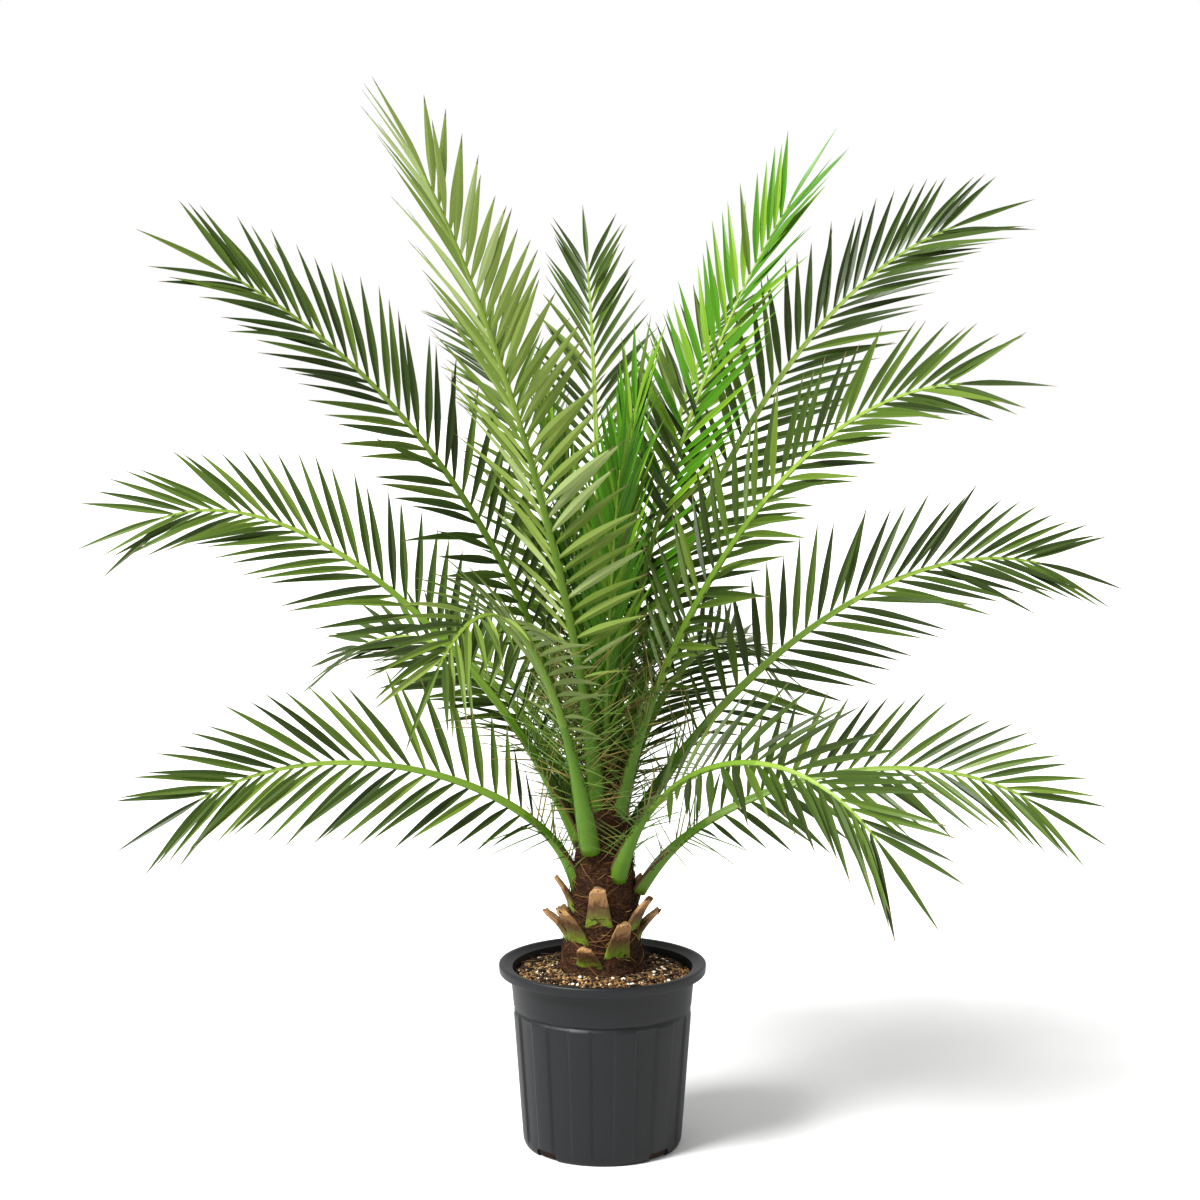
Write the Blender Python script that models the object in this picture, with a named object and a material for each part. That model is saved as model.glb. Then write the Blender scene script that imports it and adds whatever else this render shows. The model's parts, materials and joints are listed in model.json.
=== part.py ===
"""A potted Canary Island date palm, modelled at real size from named sub-parts.

World axes are +X right, +Y away from the viewer and +Z up, in metres. The origin is the centre of the
flat underside of the pot. Frond sizes are written in millimetres, as a grower would measure them.
"""

import math
import random
from dataclasses import dataclass

import bpy
from mathutils import Vector
from mathutils.bvhtree import BVHTree

MM = 0.001
SEED = 27
CLEARANCE = 0.3 * MM

# Pot: a moulded nursery container with a lip, a plain band and upright flutes
POT_HEIGHT = 268 * MM
LIP_RADIUS = 150 * MM
LIP_INNER_RADIUS = 141 * MM
LIP_DEPTH = 14 * MM
LIP_ROUNDING = 1.5 * MM
BAND_TOP_RADIUS = 133 * MM
BAND_FOOT_RADIUS = 129 * MM
BAND_FOOT_HEIGHT = 206 * MM
GROOVE_RADIUS = 126.5 * MM
GROOVE_HEIGHT = 202 * MM
FLUTE_TOP_RADIUS = 129.5 * MM
FLUTE_TOP_HEIGHT = 198 * MM
FLUTE_FOOT_RADIUS = 116.5 * MM
FLUTE_FOOT_HEIGHT = 16 * MM
FLUTE_DEPTH = 2 * MM
FLUTE_COUNT = 12
FLUTE_PANEL_SHARE = 0.45
FLUTE_SIDE_SHARE = 0.04
FOOT_RADIUS = 113 * MM
FOOT_ROUNDING = 4 * MM
WALL = 2.5 * MM
FLOOR = 3 * MM
NOTCH_COUNT = 4
NOTCH_WIDTH = 38 * MM
NOTCH_HEIGHT = 12 * MM
NOTCH_REACH = (103 * MM, 125 * MM)

# Soil, filled to a little under the lip and drawn up to the trunk
SOIL_EDGE_HEIGHT = 250 * MM
SOIL_TOP_HEIGHT = 260 * MM
SOIL_TOP_RADIUS = 80 * MM

# Trunk: height above the ground plane and radius, from the flared foot to the fibrous tip
TRUNK_SIDES = 16
TRUNK_PROFILE_MM = ((260, 66), (275, 60), (300, 55), (340, 51), (390, 47), (440, 41), (490, 34),
                    (540, 25), (580, 16), (604, 7))
TRUNK_LEAN = Vector((0.010, -0.004, 0.0))

# Cut leaf bases
STUB_BASE_WIDTH = 30 * MM
STUB_TIP_WIDTH = 15 * MM
STUB_THICKNESS = 9 * MM
STUB_SINK = 8 * MM
STUB_SHOULDER_SHARE = 0.45
STUB_NARROWING = 0.7
STUB_THINNING = 0.3

# Ribs and leaflets
PETIOLE_STATIONS = 4
ROUTE_SAMPLES = 60
RIB_FOOT_WIDTH = 20 * MM
RIB_NECK_WIDTH = 11 * MM
RIB_TIP_WIDTH = 4 * MM
RIB_DEPTH_SHARE = 0.7
LEAF_WIDTH_SHARE = 0.105
LEAF_THICKNESS_SHARE = 0.016
LEAF_BELLY = 0.38
LEAF_LONGEST_PLACE = 0.4
LEAF_FOOT_LOSS = 0.28
LEAF_TIP_LOSS = 0.15
LEAF_ANGLE_FOOT = 62.0
LEAF_ANGLE_TIP = 22.0
LEAF_LIFT = 14.0
LEAF_ANGLE_JITTER = 4.0
LEAF_SHORTER = (1.0, 0.8, 0.6)
TIP_LEAF_SHARE = 0.99
LAST_ROW_SHARE = 0.985
SEAM_LEAD = 0.12
SEAM_CLEARANCE = 1.5 * CLEARANCE
TURN_LAG = 0.15
TANGENT_STEP = 0.5
TEST_MARGIN = 1.2 * MM


@dataclass(frozen=True)
class Finish:
    """A plain material: its name, sRGB hex colour and roughness."""

    name: str
    colour: str
    roughness: float


POT_PLASTIC = Finish("moulded_plastic", "37383B", 0.5)
POTTING_MIX = Finish("potting_mix", "6A5544", 0.95)
TRUNK_FIBRE = Finish("trunk_fibre", "5B3A26", 0.9)
LEAF_BASE = Finish("leaf_base", "8A6A45", 0.8)
OLD_LEAF = Finish("old_leaf", "5F8A35", 0.5)
YOUNG_LEAF = Finish("young_leaf", "4F9A1A", 0.45)


@dataclass(frozen=True)
class Stub:
    """A cut leaf base: its bearing in degrees, foot height and length in mm, and outward lean."""

    bearing: float
    height: float
    length: float
    lean: float = 30.0


STUBS = (
    Stub(190, 345, 48),
    Stub(226, 303, 54, 38),
    Stub(176, 300, 44, 45),
    Stub(264, 328, 56, 22),
    Stub(293, 284, 54, 30),
    Stub(330, 316, 52, 34),
    Stub(2, 300, 46, 42),
    Stub(250, 272, 30, 40),
    Stub(38, 330, 52, 32),
    Stub(78, 290, 50, 36),
    Stub(118, 335, 52, 28),
    Stub(138, 288, 48, 38),
)


@dataclass(frozen=True)
class Frond:
    """One frond, as a profile curve in reach and height that is turned to its bearing.

    foot, knee, arch and tip are (reach, height) in mm: the ends of a cubic curve and its two handles.
    bearing is in degrees from +X towards +Y, swing is added to it by the tip, and turn rolls the
    blade about its rib. split is the share of the rib at which an arched frond is cut in two. closed
    narrows the leaflets' angles on a young frond, and stout scales the width of its rib.
    """

    name: str
    bearing: float
    foot: tuple
    knee: tuple
    arch: tuple
    tip: tuple
    swing: float = 0.0
    turn: float = 0.0
    bare: float = 0.26
    leaves: int = 15
    leaf_length: float = 175.0
    closed: float = 1.0
    split: float = 0.0
    stout: float = 1.0
    finish: Finish = OLD_LEAF


FRONDS = (
    Frond("left_upper", 212, (25, 440), (60, 740), (250, 1090), (550, 1250), -5, -70, 0.30, 15, 165),
    Frond("front_tall", 248, (15, 460), (40, 720), (330, 1200), (481, 1365), -5, -15, 0.26, 16, 190),
    Frond("left_middle", 175, (30, 440), (110, 640), (400, 990), (630, 910), 4, -70, 0.26, 15, 160,
          split=0.60),
    Frond("left_low", 192, (32, 370), (60, 530), (380, 640), (572, 528), 0, -70, 0.22, 14, 165,
          split=0.45),
    Frond("right_inner", 32, (12, 460), (20, 760), (150, 1130), (304, 1360), -6, 20, 0.28, 14, 165,
          stout=0.75, finish=YOUNG_LEAF),
    Frond("right_upper", 20, (18, 450), (50, 780), (260, 1230), (537, 1328), -4, 60, 0.30, 15, 165),
    Frond("right_front", 327, (16, 440), (60, 690), (280, 1100), (548, 1107), 1, 65, 0.28, 14, 160),
    Frond("right_middle", 8, (35, 450), (130, 630), (400, 900), (640, 840), -2, 70, 0.26, 15, 160,
          split=0.60),
    Frond("front_arching", 248, (46, 438), (120, 660), (335, 930), (556, 768), 1, -30, 0.30, 13, 150,
          split=0.55),
    Frond("right_low", 348, (51, 375), (130, 520), (420, 630), (608, 528), 0, 65, 0.22, 14, 150,
          split=0.45),
    Frond("right_low_front", 303, (38, 396), (108, 575), (370, 690), (519, 523), 10, 45, 0.24, 14, 165,
          split=0.50),
    Frond("back_centre", 92, (10, 460), (30, 760), (200, 1100), (341, 1283), 2, 0, 0.28, 13, 150),
    Frond("back_left", 146, (29, 450), (120, 650), (320, 790), (480, 675), 0, -35, 0.26, 12, 140,
          split=0.55),
    Frond("back_right", 46, (29, 450), (80, 650), (260, 790), (408, 655), 6, 35, 0.26, 12, 140,
          split=0.55),
    Frond("heart_right", 50, (8, 520), (16, 700), (30, 900), (78, 1080), 0, 10, 0.20, 8, 150, 0.5,
          stout=0.55, finish=YOUNG_LEAF),
    Frond("heart_left", 150, (10, 520), (24, 690), (40, 860), (86, 1010), 0, -10, 0.20, 8, 150, 0.5,
          stout=0.55, finish=YOUNG_LEAF),
    Frond("heart_front", 285, (12, 520), (22, 680), (40, 830), (92, 985), 0, 0, 0.20, 8, 140, 0.5,
          stout=0.55, finish=YOUNG_LEAF),
    Frond("rear_left_upper", 118, (14, 460), (50, 740), (240, 1080), (430, 1180), 0, -20, 0.28, 12, 150),
    Frond("rear_right_upper", 66, (14, 460), (50, 740), (260, 1090), (470, 1200), 0, 20, 0.28, 12, 150),
    Frond("rear_middle", 101, (30, 436), (110, 640), (380, 930), (600, 850), 0, 10, 0.26, 12, 155,
          split=0.50),
    Frond("rear_right_low", 70, (34, 410), (90, 600), (360, 760), (560, 660), 0, 15, 0.24, 11, 150,
          split=0.50),
    Frond("rear_left_low", 124, (34, 410), (90, 600), (350, 750), (540, 650), 0, -15, 0.24, 11, 150,
          split=0.50),
    Frond("rear_low", 96, (44, 385), (100, 550), (320, 660), (470, 570), 0, 0, 0.24, 10, 140,
          split=0.50),
)


@dataclass(frozen=True)
class Station:
    """A point on a rib with its tangent, its sideways direction and the blade's upper direction."""

    point: Vector
    along: Vector
    side: Vector
    up: Vector


def clear_scene():
    """Remove every object that Blender starts with."""
    for item in list(bpy.data.objects):
        bpy.data.objects.remove(item, do_unlink=True)


def linear(hex_colour):
    """Turn an sRGB hex colour into linear RGBA."""
    channels = [int(hex_colour[i:i + 2], 16) / 255 for i in (0, 2, 4)]
    return [c / 12.92 if c <= 0.04045 else ((c + 0.055) / 1.055) ** 2.4 for c in channels] + [1.0]


def material(finish):
    """Return the material of a finish, made on its first use."""
    found = bpy.data.materials.get(finish.name)
    if found:
        return found
    made = bpy.data.materials.new(finish.name)
    made.use_nodes = True
    shader = made.node_tree.nodes["Principled BSDF"]
    shader.inputs["Base Color"].default_value = linear(finish.colour)
    shader.inputs["Roughness"].default_value = finish.roughness
    return made


def add_object(name, vertices, faces, finish):
    """Link a new mesh object to the scene and give it its finish."""
    mesh = bpy.data.meshes.new(name)
    mesh.from_pydata([tuple(v) for v in vertices], [], faces)
    mesh.materials.append(material(finish))
    item = bpy.data.objects.new(name, mesh)
    bpy.context.scene.collection.objects.link(item)
    return item


def apply_modifiers(item):
    """Replace an object's mesh by its evaluated one."""
    graph = bpy.context.evaluated_depsgraph_get()
    evaluated = bpy.data.meshes.new_from_object(item.evaluated_get(graph))
    item.modifiers.clear()
    item.data = evaluated


def cut(item, cutter):
    """Cut one object by another, which stays in the scene."""
    boolean = item.modifiers.new("cut", "BOOLEAN")
    boolean.operation = "DIFFERENCE"
    boolean.solver = "EXACT"
    boolean.object = cutter
    apply_modifiers(item)


def fuse(item, parts):
    """Union a collection of loose objects into one object, and remove them."""
    if not parts:
        return
    group = bpy.data.collections.new("fuse")
    for part in parts:
        group.objects.link(part)
    boolean = item.modifiers.new("fuse", "BOOLEAN")
    boolean.operation = "UNION"
    boolean.solver = "EXACT"
    boolean.operand_type = "COLLECTION"
    boolean.collection = group
    apply_modifiers(item)
    for part in parts:
        bpy.data.objects.remove(part, do_unlink=True)
    bpy.data.collections.remove(group)


def ring_faces(rings, sides):
    """Faces of a capped skin over rings of equal size."""
    faces = []
    for ring in range(rings - 1):
        low = ring * sides
        high = low + sides
        for side in range(sides):
            after = (side + 1) % sides
            faces.append((low + side, low + after, high + after, high + side))
    faces.append(tuple(reversed(range(sides))))
    faces.append(tuple(range((rings - 1) * sides, rings * sides)))
    return faces


def polar(radius, angle, height):
    """A point from its radius, its angle in radians and its height."""
    return Vector((radius * math.cos(angle), radius * math.sin(angle), height))


def pot_angles():
    """Yield each column's angle and whether it stands on a raised panel of the flutes."""
    period = math.tau / FLUTE_COUNT
    side = FLUTE_SIDE_SHARE / 2
    panel = FLUTE_PANEL_SHARE / 2
    for flute in range(FLUTE_COUNT):
        centre = -math.pi / 2 + period * (flute + 0.5)
        for share, raised in ((-panel - side, False), (-panel, True), (panel, True), (panel + side, False)):
            yield centre + share * period, raised


def cavity_radius(height):
    """Radius of the pot's inner wall at a height."""
    low = FLUTE_FOOT_RADIUS - FLUTE_DEPTH - WALL
    high = BAND_TOP_RADIUS - WALL
    share = (height - FLOOR) / (POT_HEIGHT - LIP_DEPTH - FLOOR)
    return low + (high - low) * share - FLUTE_DEPTH * math.sin(math.pi * min(max(share, 0), 1))


def build_pot():
    """The container: one skin down the outside, under the floor and up the inside."""
    lip_foot = POT_HEIGHT - LIP_DEPTH
    profile = (
        (LIP_INNER_RADIUS, POT_HEIGHT, 0), (LIP_RADIUS - LIP_ROUNDING, POT_HEIGHT, 0),
        (LIP_RADIUS, POT_HEIGHT - LIP_ROUNDING, 0), (LIP_RADIUS - LIP_ROUNDING, lip_foot, 0),
        (BAND_TOP_RADIUS, lip_foot, 0), (BAND_FOOT_RADIUS, BAND_FOOT_HEIGHT, 0),
        (GROOVE_RADIUS, GROOVE_HEIGHT, 0), (FLUTE_TOP_RADIUS, FLUTE_TOP_HEIGHT, FLUTE_DEPTH),
        (FLUTE_FOOT_RADIUS, FLUTE_FOOT_HEIGHT, FLUTE_DEPTH), (FOOT_RADIUS, FOOT_ROUNDING, 0),
        (FOOT_RADIUS - FOOT_ROUNDING / 2, 0.0, 0),
    )
    inside = (FLOOR, FLUTE_TOP_HEIGHT / 2, lip_foot)
    columns = list(pot_angles())
    rings = [[polar(r - (0 if raised else depth), a, z) for a, raised in columns]
             for r, z, depth in profile]
    floor_ring = len(rings) - 1
    rings += [[polar(cavity_radius(z), a, z) for a, _ in columns] for z in inside]
    sides = len(columns)
    faces = []
    for ring in range(len(rings)):
        if ring == floor_ring:
            continue
        low = ring * sides
        high = ((ring + 1) % len(rings)) * sides
        for side in range(sides):
            after = (side + 1) % sides
            faces.append((low + after, low + side, high + side, high + after))
    faces.append(tuple(reversed(range(floor_ring * sides, (floor_ring + 1) * sides))))
    faces.append(tuple(range((floor_ring + 1) * sides, (floor_ring + 2) * sides)))
    pot = add_object("pot", [v for ring in rings for v in ring], faces, POT_PLASTIC)
    for notch in range(NOTCH_COUNT):
        cutter = notch_cutter(math.tau * (notch + 0.5) / NOTCH_COUNT)
        cut(pot, cutter)
        bpy.data.objects.remove(cutter, do_unlink=True)
    return pot


def notch_cutter(angle):
    """A block across the foot of the wall, which leaves one drain notch."""
    out = Vector((math.cos(angle), math.sin(angle), 0))
    across = Vector((-out.y, out.x, 0)) * NOTCH_WIDTH / 2
    corners = [out * reach + across * way + Vector((0, 0, height))
               for height in (-NOTCH_HEIGHT, NOTCH_HEIGHT)
               for reach, way in ((NOTCH_REACH[0], -1), (NOTCH_REACH[1], -1),
                                  (NOTCH_REACH[1], 1), (NOTCH_REACH[0], 1))]
    return add_object("notch_cutter", corners, ring_faces(2, 4), POT_PLASTIC)


def build_soil():
    """The potting mix, a plug that fills the pot and rises a little to the trunk."""
    angles = [a for a, _ in pot_angles()]
    middle = FLUTE_TOP_HEIGHT / 2
    outline = [(cavity_radius(z) - CLEARANCE, z)
               for z in (FLOOR + CLEARANCE, middle, SOIL_EDGE_HEIGHT)]
    outline.append((SOIL_TOP_RADIUS, SOIL_TOP_HEIGHT))
    vertices = [polar(r, a, z) for r, z in outline for a in angles]
    return add_object("soil", vertices, ring_faces(len(outline), len(angles)), POTTING_MIX)


def trunk_mesh(name, swell):
    """The trunk's skin, grown outward by a swell."""
    vertices = []
    foot = TRUNK_PROFILE_MM[0][0] * MM
    for height, radius in TRUNK_PROFILE_MM:
        z = height * MM + CLEARANCE
        shift = TRUNK_LEAN * (z - foot)
        for side in range(TRUNK_SIDES):
            vertices.append(polar(radius * MM + swell, math.tau * side / TRUNK_SIDES, z) + shift)
    if swell:
        for vertex in vertices[-TRUNK_SIDES:]:
            vertex.z += 2 * swell
        for vertex in vertices[:TRUNK_SIDES]:
            vertex.z -= 2 * swell
    return add_object(name, vertices, ring_faces(len(TRUNK_PROFILE_MM), TRUNK_SIDES), TRUNK_FIBRE)


def trunk_radius(height_mm):
    """Trunk radius at a height, read along the profile."""
    for (low, r_low), (high, r_high) in zip(TRUNK_PROFILE_MM, TRUNK_PROFILE_MM[1:]):
        if low <= height_mm <= high:
            return (r_low + (r_high - r_low) * (height_mm - low) / (high - low)) * MM
    return TRUNK_PROFILE_MM[-1][1] * MM


def build_stub(number, stub, cutter):
    """One cut leaf base: broad where it clasps the trunk, narrow and square at the cut."""
    bearing = math.radians(stub.bearing)
    out = Vector((math.cos(bearing), math.sin(bearing), 0))
    side = Vector((-out.y, out.x, 0))
    lean = math.radians(stub.lean)
    along = out * math.sin(lean) + Vector((0, 0, math.cos(lean)))
    face = side.cross(along)
    root = out * (trunk_radius(stub.height) - STUB_SINK) + Vector((0, 0, stub.height * MM))
    vertices = []
    for share in (0.0, STUB_SHOULDER_SHARE, 1.0):
        width = (STUB_BASE_WIDTH + (STUB_TIP_WIDTH - STUB_BASE_WIDTH) * share ** STUB_NARROWING) / 2
        thick = STUB_THICKNESS * (1 - STUB_THINNING * share) / 2
        centre = root + along * (stub.length * MM + STUB_SINK) * share
        for across, through in ((-1, -1), (1, -1), (1, 1), (-1, 1)):
            vertices.append(centre + side * width * across + face * thick * through)
    item = add_object(f"leaf_base_{number:02d}", vertices, ring_faces(3, 4), LEAF_BASE)
    cut(item, cutter)
    return item


def cubic(values, t):
    """A cubic curve through its end values, drawn by its two handle values."""
    s = 1 - t
    return s ** 3 * values[0] + 3 * s * s * t * values[1] + 3 * s * t * t * values[2] + t ** 3 * values[3]


def route_point(frond, t):
    """A point of a frond's rib and its local bearing."""
    points = (frond.foot, frond.knee, frond.arch, frond.tip)
    reach = cubic([p[0] for p in points], t) * MM
    height = cubic([p[1] for p in points], t) * MM
    bearing = math.radians(frond.bearing + frond.swing * reach / (frond.tip[0] * MM))
    return polar(reach, bearing, height), bearing


def smooth(value):
    """Ease a share from 0 to 1."""
    value = min(max(value, 0.0), 1.0)
    return value * value * (3 - 2 * value)


class Route:
    """A frond's rib, read by its share of the length from foot to tip."""

    def __init__(self, frond):
        self.frond = frond
        self.samples = [route_point(frond, k / ROUTE_SAMPLES)[0] for k in range(ROUTE_SAMPLES + 1)]
        self.distance = [0.0]
        for before, after in zip(self.samples, self.samples[1:]):
            self.distance.append(self.distance[-1] + (after - before).length)
        self.length = self.distance[-1]

    def parameter(self, share):
        """The curve parameter at a share of the length."""
        target = share * self.length
        for k in range(ROUTE_SAMPLES):
            if self.distance[k + 1] >= target:
                step = self.distance[k + 1] - self.distance[k]
                return (k + (target - self.distance[k]) / step) / ROUTE_SAMPLES
        return 1.0

    def station(self, share):
        """The place and directions at a share of the length."""
        t = self.parameter(share)
        point, bearing = route_point(self.frond, t)
        step = TANGENT_STEP / ROUTE_SAMPLES
        ahead = route_point(self.frond, min(t + step, 1.0))[0]
        behind = route_point(self.frond, max(t - step, 0.0))[0]
        along = (ahead - behind).normalized()
        side = Vector((math.sin(bearing), -math.cos(bearing), 0))
        side = (side - along * side.dot(along)).normalized()
        up = side.cross(along)
        turn = math.radians(self.frond.turn) * smooth(share / (self.frond.bare + TURN_LAG))
        rolled_side = side * math.cos(turn) - up * math.sin(turn)
        return Station(point, along, rolled_side, rolled_side.cross(along))


def rib_width(frond, share):
    """Width of a rib, which thins quickly along the petiole and slowly after it."""
    if share < frond.bare:
        width = RIB_FOOT_WIDTH + (RIB_NECK_WIDTH - RIB_FOOT_WIDTH) * smooth(share / frond.bare)
    else:
        width = RIB_NECK_WIDTH + (RIB_TIP_WIDTH - RIB_NECK_WIDTH) * (share - frond.bare) / (1 - frond.bare)
    return width * frond.stout


def rib_geometry(frond, route, start, end):
    """A three-sided rib over part of a route: flat above, keeled below, with a ring at each leaflet row."""
    petiole = [frond.bare * k / PETIOLE_STATIONS for k in range(PETIOLE_STATIONS)]
    rows = [leaf_share(frond, row) for row in range(frond.leaves)]
    shares = [start] + [share for share in petiole + rows if start < share < end] + [end]
    vertices = []
    for share in shares:
        station = route.station(share)
        width = rib_width(frond, share)
        depth = width * RIB_DEPTH_SHARE
        vertices.append(station.point + station.side * width / 2 + station.up * depth / 3)
        vertices.append(station.point - station.side * width / 2 + station.up * depth / 3)
        vertices.append(station.point - station.up * depth * 2 / 3)
    return vertices, ring_faces(len(shares), 3)


def leaf_share(frond, row):
    """Where a row of leaflets leaves the rib."""
    return frond.bare + (LAST_ROW_SHARE - frond.bare) * (row + 0.5) / frond.leaves


def leaf_size(frond, share):
    """Leaflet length along a frond: longest before the middle, shorter at the foot and the tip."""
    place = (share - frond.bare) / (1 - frond.bare)
    if place < LEAF_LONGEST_PLACE:
        loss = LEAF_FOOT_LOSS * (1 - place / LEAF_LONGEST_PLACE) ** 2
    else:
        loss = LEAF_TIP_LOSS * ((place - LEAF_LONGEST_PLACE) / (1 - LEAF_LONGEST_PLACE)) ** 2
    return frond.leaf_length * MM * (1 - loss)


def leaf_direction(frond, station, share, way, jitter):
    """The way a leaflet points from the rib."""
    place = (share - frond.bare) / (1 - frond.bare)
    angle = LEAF_ANGLE_FOOT + (LEAF_ANGLE_TIP - LEAF_ANGLE_FOOT) * place
    angle = math.radians(angle * frond.closed + jitter)
    lift = math.radians(LEAF_LIFT)
    outward = station.side * way * math.cos(lift) + station.up * math.sin(lift)
    return (station.along * math.cos(angle) + outward * math.sin(angle)).normalized()


def leaf_geometry(root, direction, along, length, grow=0.0):
    """An eight-faced blade: a root, a four-cornered belly and a tip."""
    across = (along - direction * along.dot(direction)).normalized()
    through = direction.cross(across)
    half_width = length * LEAF_WIDTH_SHARE / 2 + grow
    half_thick = length * LEAF_THICKNESS_SHARE / 2 + grow
    belly = root + direction * length * LEAF_BELLY
    vertices = [root, belly + across * half_width, belly + through * half_thick,
                belly - across * half_width, belly - through * half_thick, root + direction * length]
    faces = []
    for k in range(4):
        after = 1 + (k + 1) % 4
        faces.append((0, after, 1 + k))
        faces.append((5, 1 + k, after))
    return vertices, faces


class Surroundings:
    """The surfaces already placed, which a new leaflet has to stay clear of."""

    def __init__(self):
        self.pieces = {}

    def add(self, owner, vertices, faces):
        """Keep a surface under the node that owns it."""
        self.pieces.setdefault(owner, []).append((vertices, faces))

    def others(self, owner):
        """A search tree over every surface that another node owns."""
        vertices = []
        faces = []
        for name, pieces in self.pieces.items():
            if name == owner:
                continue
            for points, polygons in pieces:
                base = len(vertices)
                vertices.extend(points)
                faces.extend(tuple(base + i for i in polygon) for polygon in polygons)
        return BVHTree.FromPolygons(vertices, faces)


def frond_spans(frond):
    """Name each node of a frond and the stretch of rib it covers."""
    if not frond.split:
        return [(f"frond_{frond.name}", 0.0, 1.0)]
    rows = [leaf_share(frond, row) for row in range(frond.leaves)]
    after = next(i for i, share in enumerate(rows) if share > frond.split)
    seam = rows[after] - SEAM_LEAD * (rows[after] - rows[after - 1])
    gap = SEAM_CLEARANCE / Route(frond).length
    return [(f"frond_{frond.name}_lower", 0.0, seam - gap), (f"frond_{frond.name}_upper", seam, 1.0)]


def leaf_plan(frond, route, start, end, dice):
    """Yield the station, direction, blade reference and full length of each leaflet on a stretch."""
    for row in range(frond.leaves):
        share = leaf_share(frond, row)
        for way in (-1, 1):
            jitter = dice.uniform(-LEAF_ANGLE_JITTER, LEAF_ANGLE_JITTER)
            if start <= share <= end:
                station = route.station(share)
                direction = leaf_direction(frond, station, share, way, jitter)
                yield station, direction, station.along, leaf_size(frond, share)
    if end == 1.0:
        last = route.station(TIP_LEAF_SHARE)
        yield last, last.along, last.side, leaf_size(frond, 1.0)


def place_blade(name, leaf, tree, around, finish):
    """Return a blade as long as the room allows, or None where even a short one would touch."""
    station, direction, reference, full = leaf
    for shorter in LEAF_SHORTER:
        length = full * shorter
        probe = leaf_geometry(station.point, direction, reference, length, TEST_MARGIN)
        if not BVHTree.FromPolygons(*probe).overlap(tree):
            blade = leaf_geometry(station.point, direction, reference, length)
            around.add(name, *blade)
            return add_object("blade", *blade, finish)
    return None


def build_frond_node(frond, route, span, around, cutter, dice):
    """One stretch of a frond: its rib with the leaflets that find room, fused into one solid."""
    name, start, end = span
    item = add_object(name, *rib_geometry(frond, route, start, end), frond.finish)
    tree = around.others(name)
    leaves = leaf_plan(frond, route, start, end, dice)
    blades = [place_blade(name, leaf, tree, around, frond.finish) for leaf in leaves]
    fuse(item, [blade for blade in blades if blade])
    if start == 0.0:
        cut(item, cutter)
    return item


def main():
    """Build the palm from the pot up."""
    clear_scene()
    dice = random.Random(SEED)
    build_pot()
    build_soil()
    trunk_mesh("trunk", 0.0)
    cutter = trunk_mesh("trunk_cutter", CLEARANCE)
    around = Surroundings()
    for number, stub in enumerate(STUBS, start=1):
        item = build_stub(number, stub, cutter)
        around.add(item.name, [v.co.copy() for v in item.data.vertices],
                   [tuple(p.vertices) for p in item.data.polygons])
    routes = [(frond, Route(frond), frond_spans(frond)) for frond in FRONDS]
    for frond, route, spans in routes:
        for name, start, end in spans:
            around.add(name, *rib_geometry(frond, route, start, end))
    for frond, route, spans in routes:
        for span in spans:
            build_frond_node(frond, route, span, around, cutter, dice)
    bpy.data.objects.remove(cutter, do_unlink=True)


main()
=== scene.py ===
"""The finished look of a potted Canary Island date palm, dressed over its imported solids.

World axes are +X right, +Y away from the viewer and +Z up, in metres. Frond sizes are in millimetres,
as in the part's own source, and every frond grows by the same rule as there, with finer leaflets.
"""

import json
import logging
import math
import random
from collections.abc import Iterator, Sequence
from dataclasses import dataclass, field
from enum import Enum

import bmesh
import bpy
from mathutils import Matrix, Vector, noise
from mathutils.bvhtree import BVHTree


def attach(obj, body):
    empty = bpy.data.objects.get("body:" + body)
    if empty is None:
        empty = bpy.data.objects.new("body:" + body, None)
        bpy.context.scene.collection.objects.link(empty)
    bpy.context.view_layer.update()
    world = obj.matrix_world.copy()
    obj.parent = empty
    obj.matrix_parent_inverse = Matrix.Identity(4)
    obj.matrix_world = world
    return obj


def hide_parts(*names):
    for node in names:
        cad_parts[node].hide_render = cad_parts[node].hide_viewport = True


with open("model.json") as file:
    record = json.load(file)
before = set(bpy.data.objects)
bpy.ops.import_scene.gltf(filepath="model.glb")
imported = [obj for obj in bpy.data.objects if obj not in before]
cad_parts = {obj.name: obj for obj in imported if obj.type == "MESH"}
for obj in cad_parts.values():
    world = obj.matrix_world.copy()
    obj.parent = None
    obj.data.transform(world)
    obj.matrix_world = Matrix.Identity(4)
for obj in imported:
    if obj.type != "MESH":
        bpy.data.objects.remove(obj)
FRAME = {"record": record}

MM = 0.001
BODY = "root"
SEED = 27
LOG = logging.getLogger("palm")
# A leaflet's cross-section has three points above and three below, and these faces join the lower three.
BLADE_POINTS = 6
BLADE_UNDER = (3, 4)


def linear(hex_colour: str) -> tuple[float, float, float, float]:
    """Turn an sRGB hex colour into linear RGBA.

    Args:
        hex_colour: Six hex digits, such as "5F8A35".

    Returns:
        The linear red, green, blue and an alpha of 1.
    """
    channels = [int(hex_colour[i:i + 2], 16) / 255 for i in (0, 2, 4)]
    # The sRGB curve is straight near black and a power above that.
    red, green, blue = [c / 12.92 if c <= 0.04045 else ((c + 0.055) / 1.055) ** 2.4 for c in channels]
    return red, green, blue, 1.0


def smooth(value: float) -> float:
    """Ease a share from 0 to 1."""
    value = min(max(value, 0.0), 1.0)
    return value * value * (3 - 2 * value)


def mix(low: float, high: float, share: float) -> float:
    """Blend two numbers by a share."""
    return low + (high - low) * share


def polar(radius: float, angle: float, height: float) -> Vector:
    """A point from its radius, its angle in radians and its height."""
    return Vector((radius * math.cos(angle), radius * math.sin(angle), height))


def round_angles(count: int) -> list[float]:
    """Equal steps of a full turn, in radians."""
    return [math.tau * k / count for k in range(count)]


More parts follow.
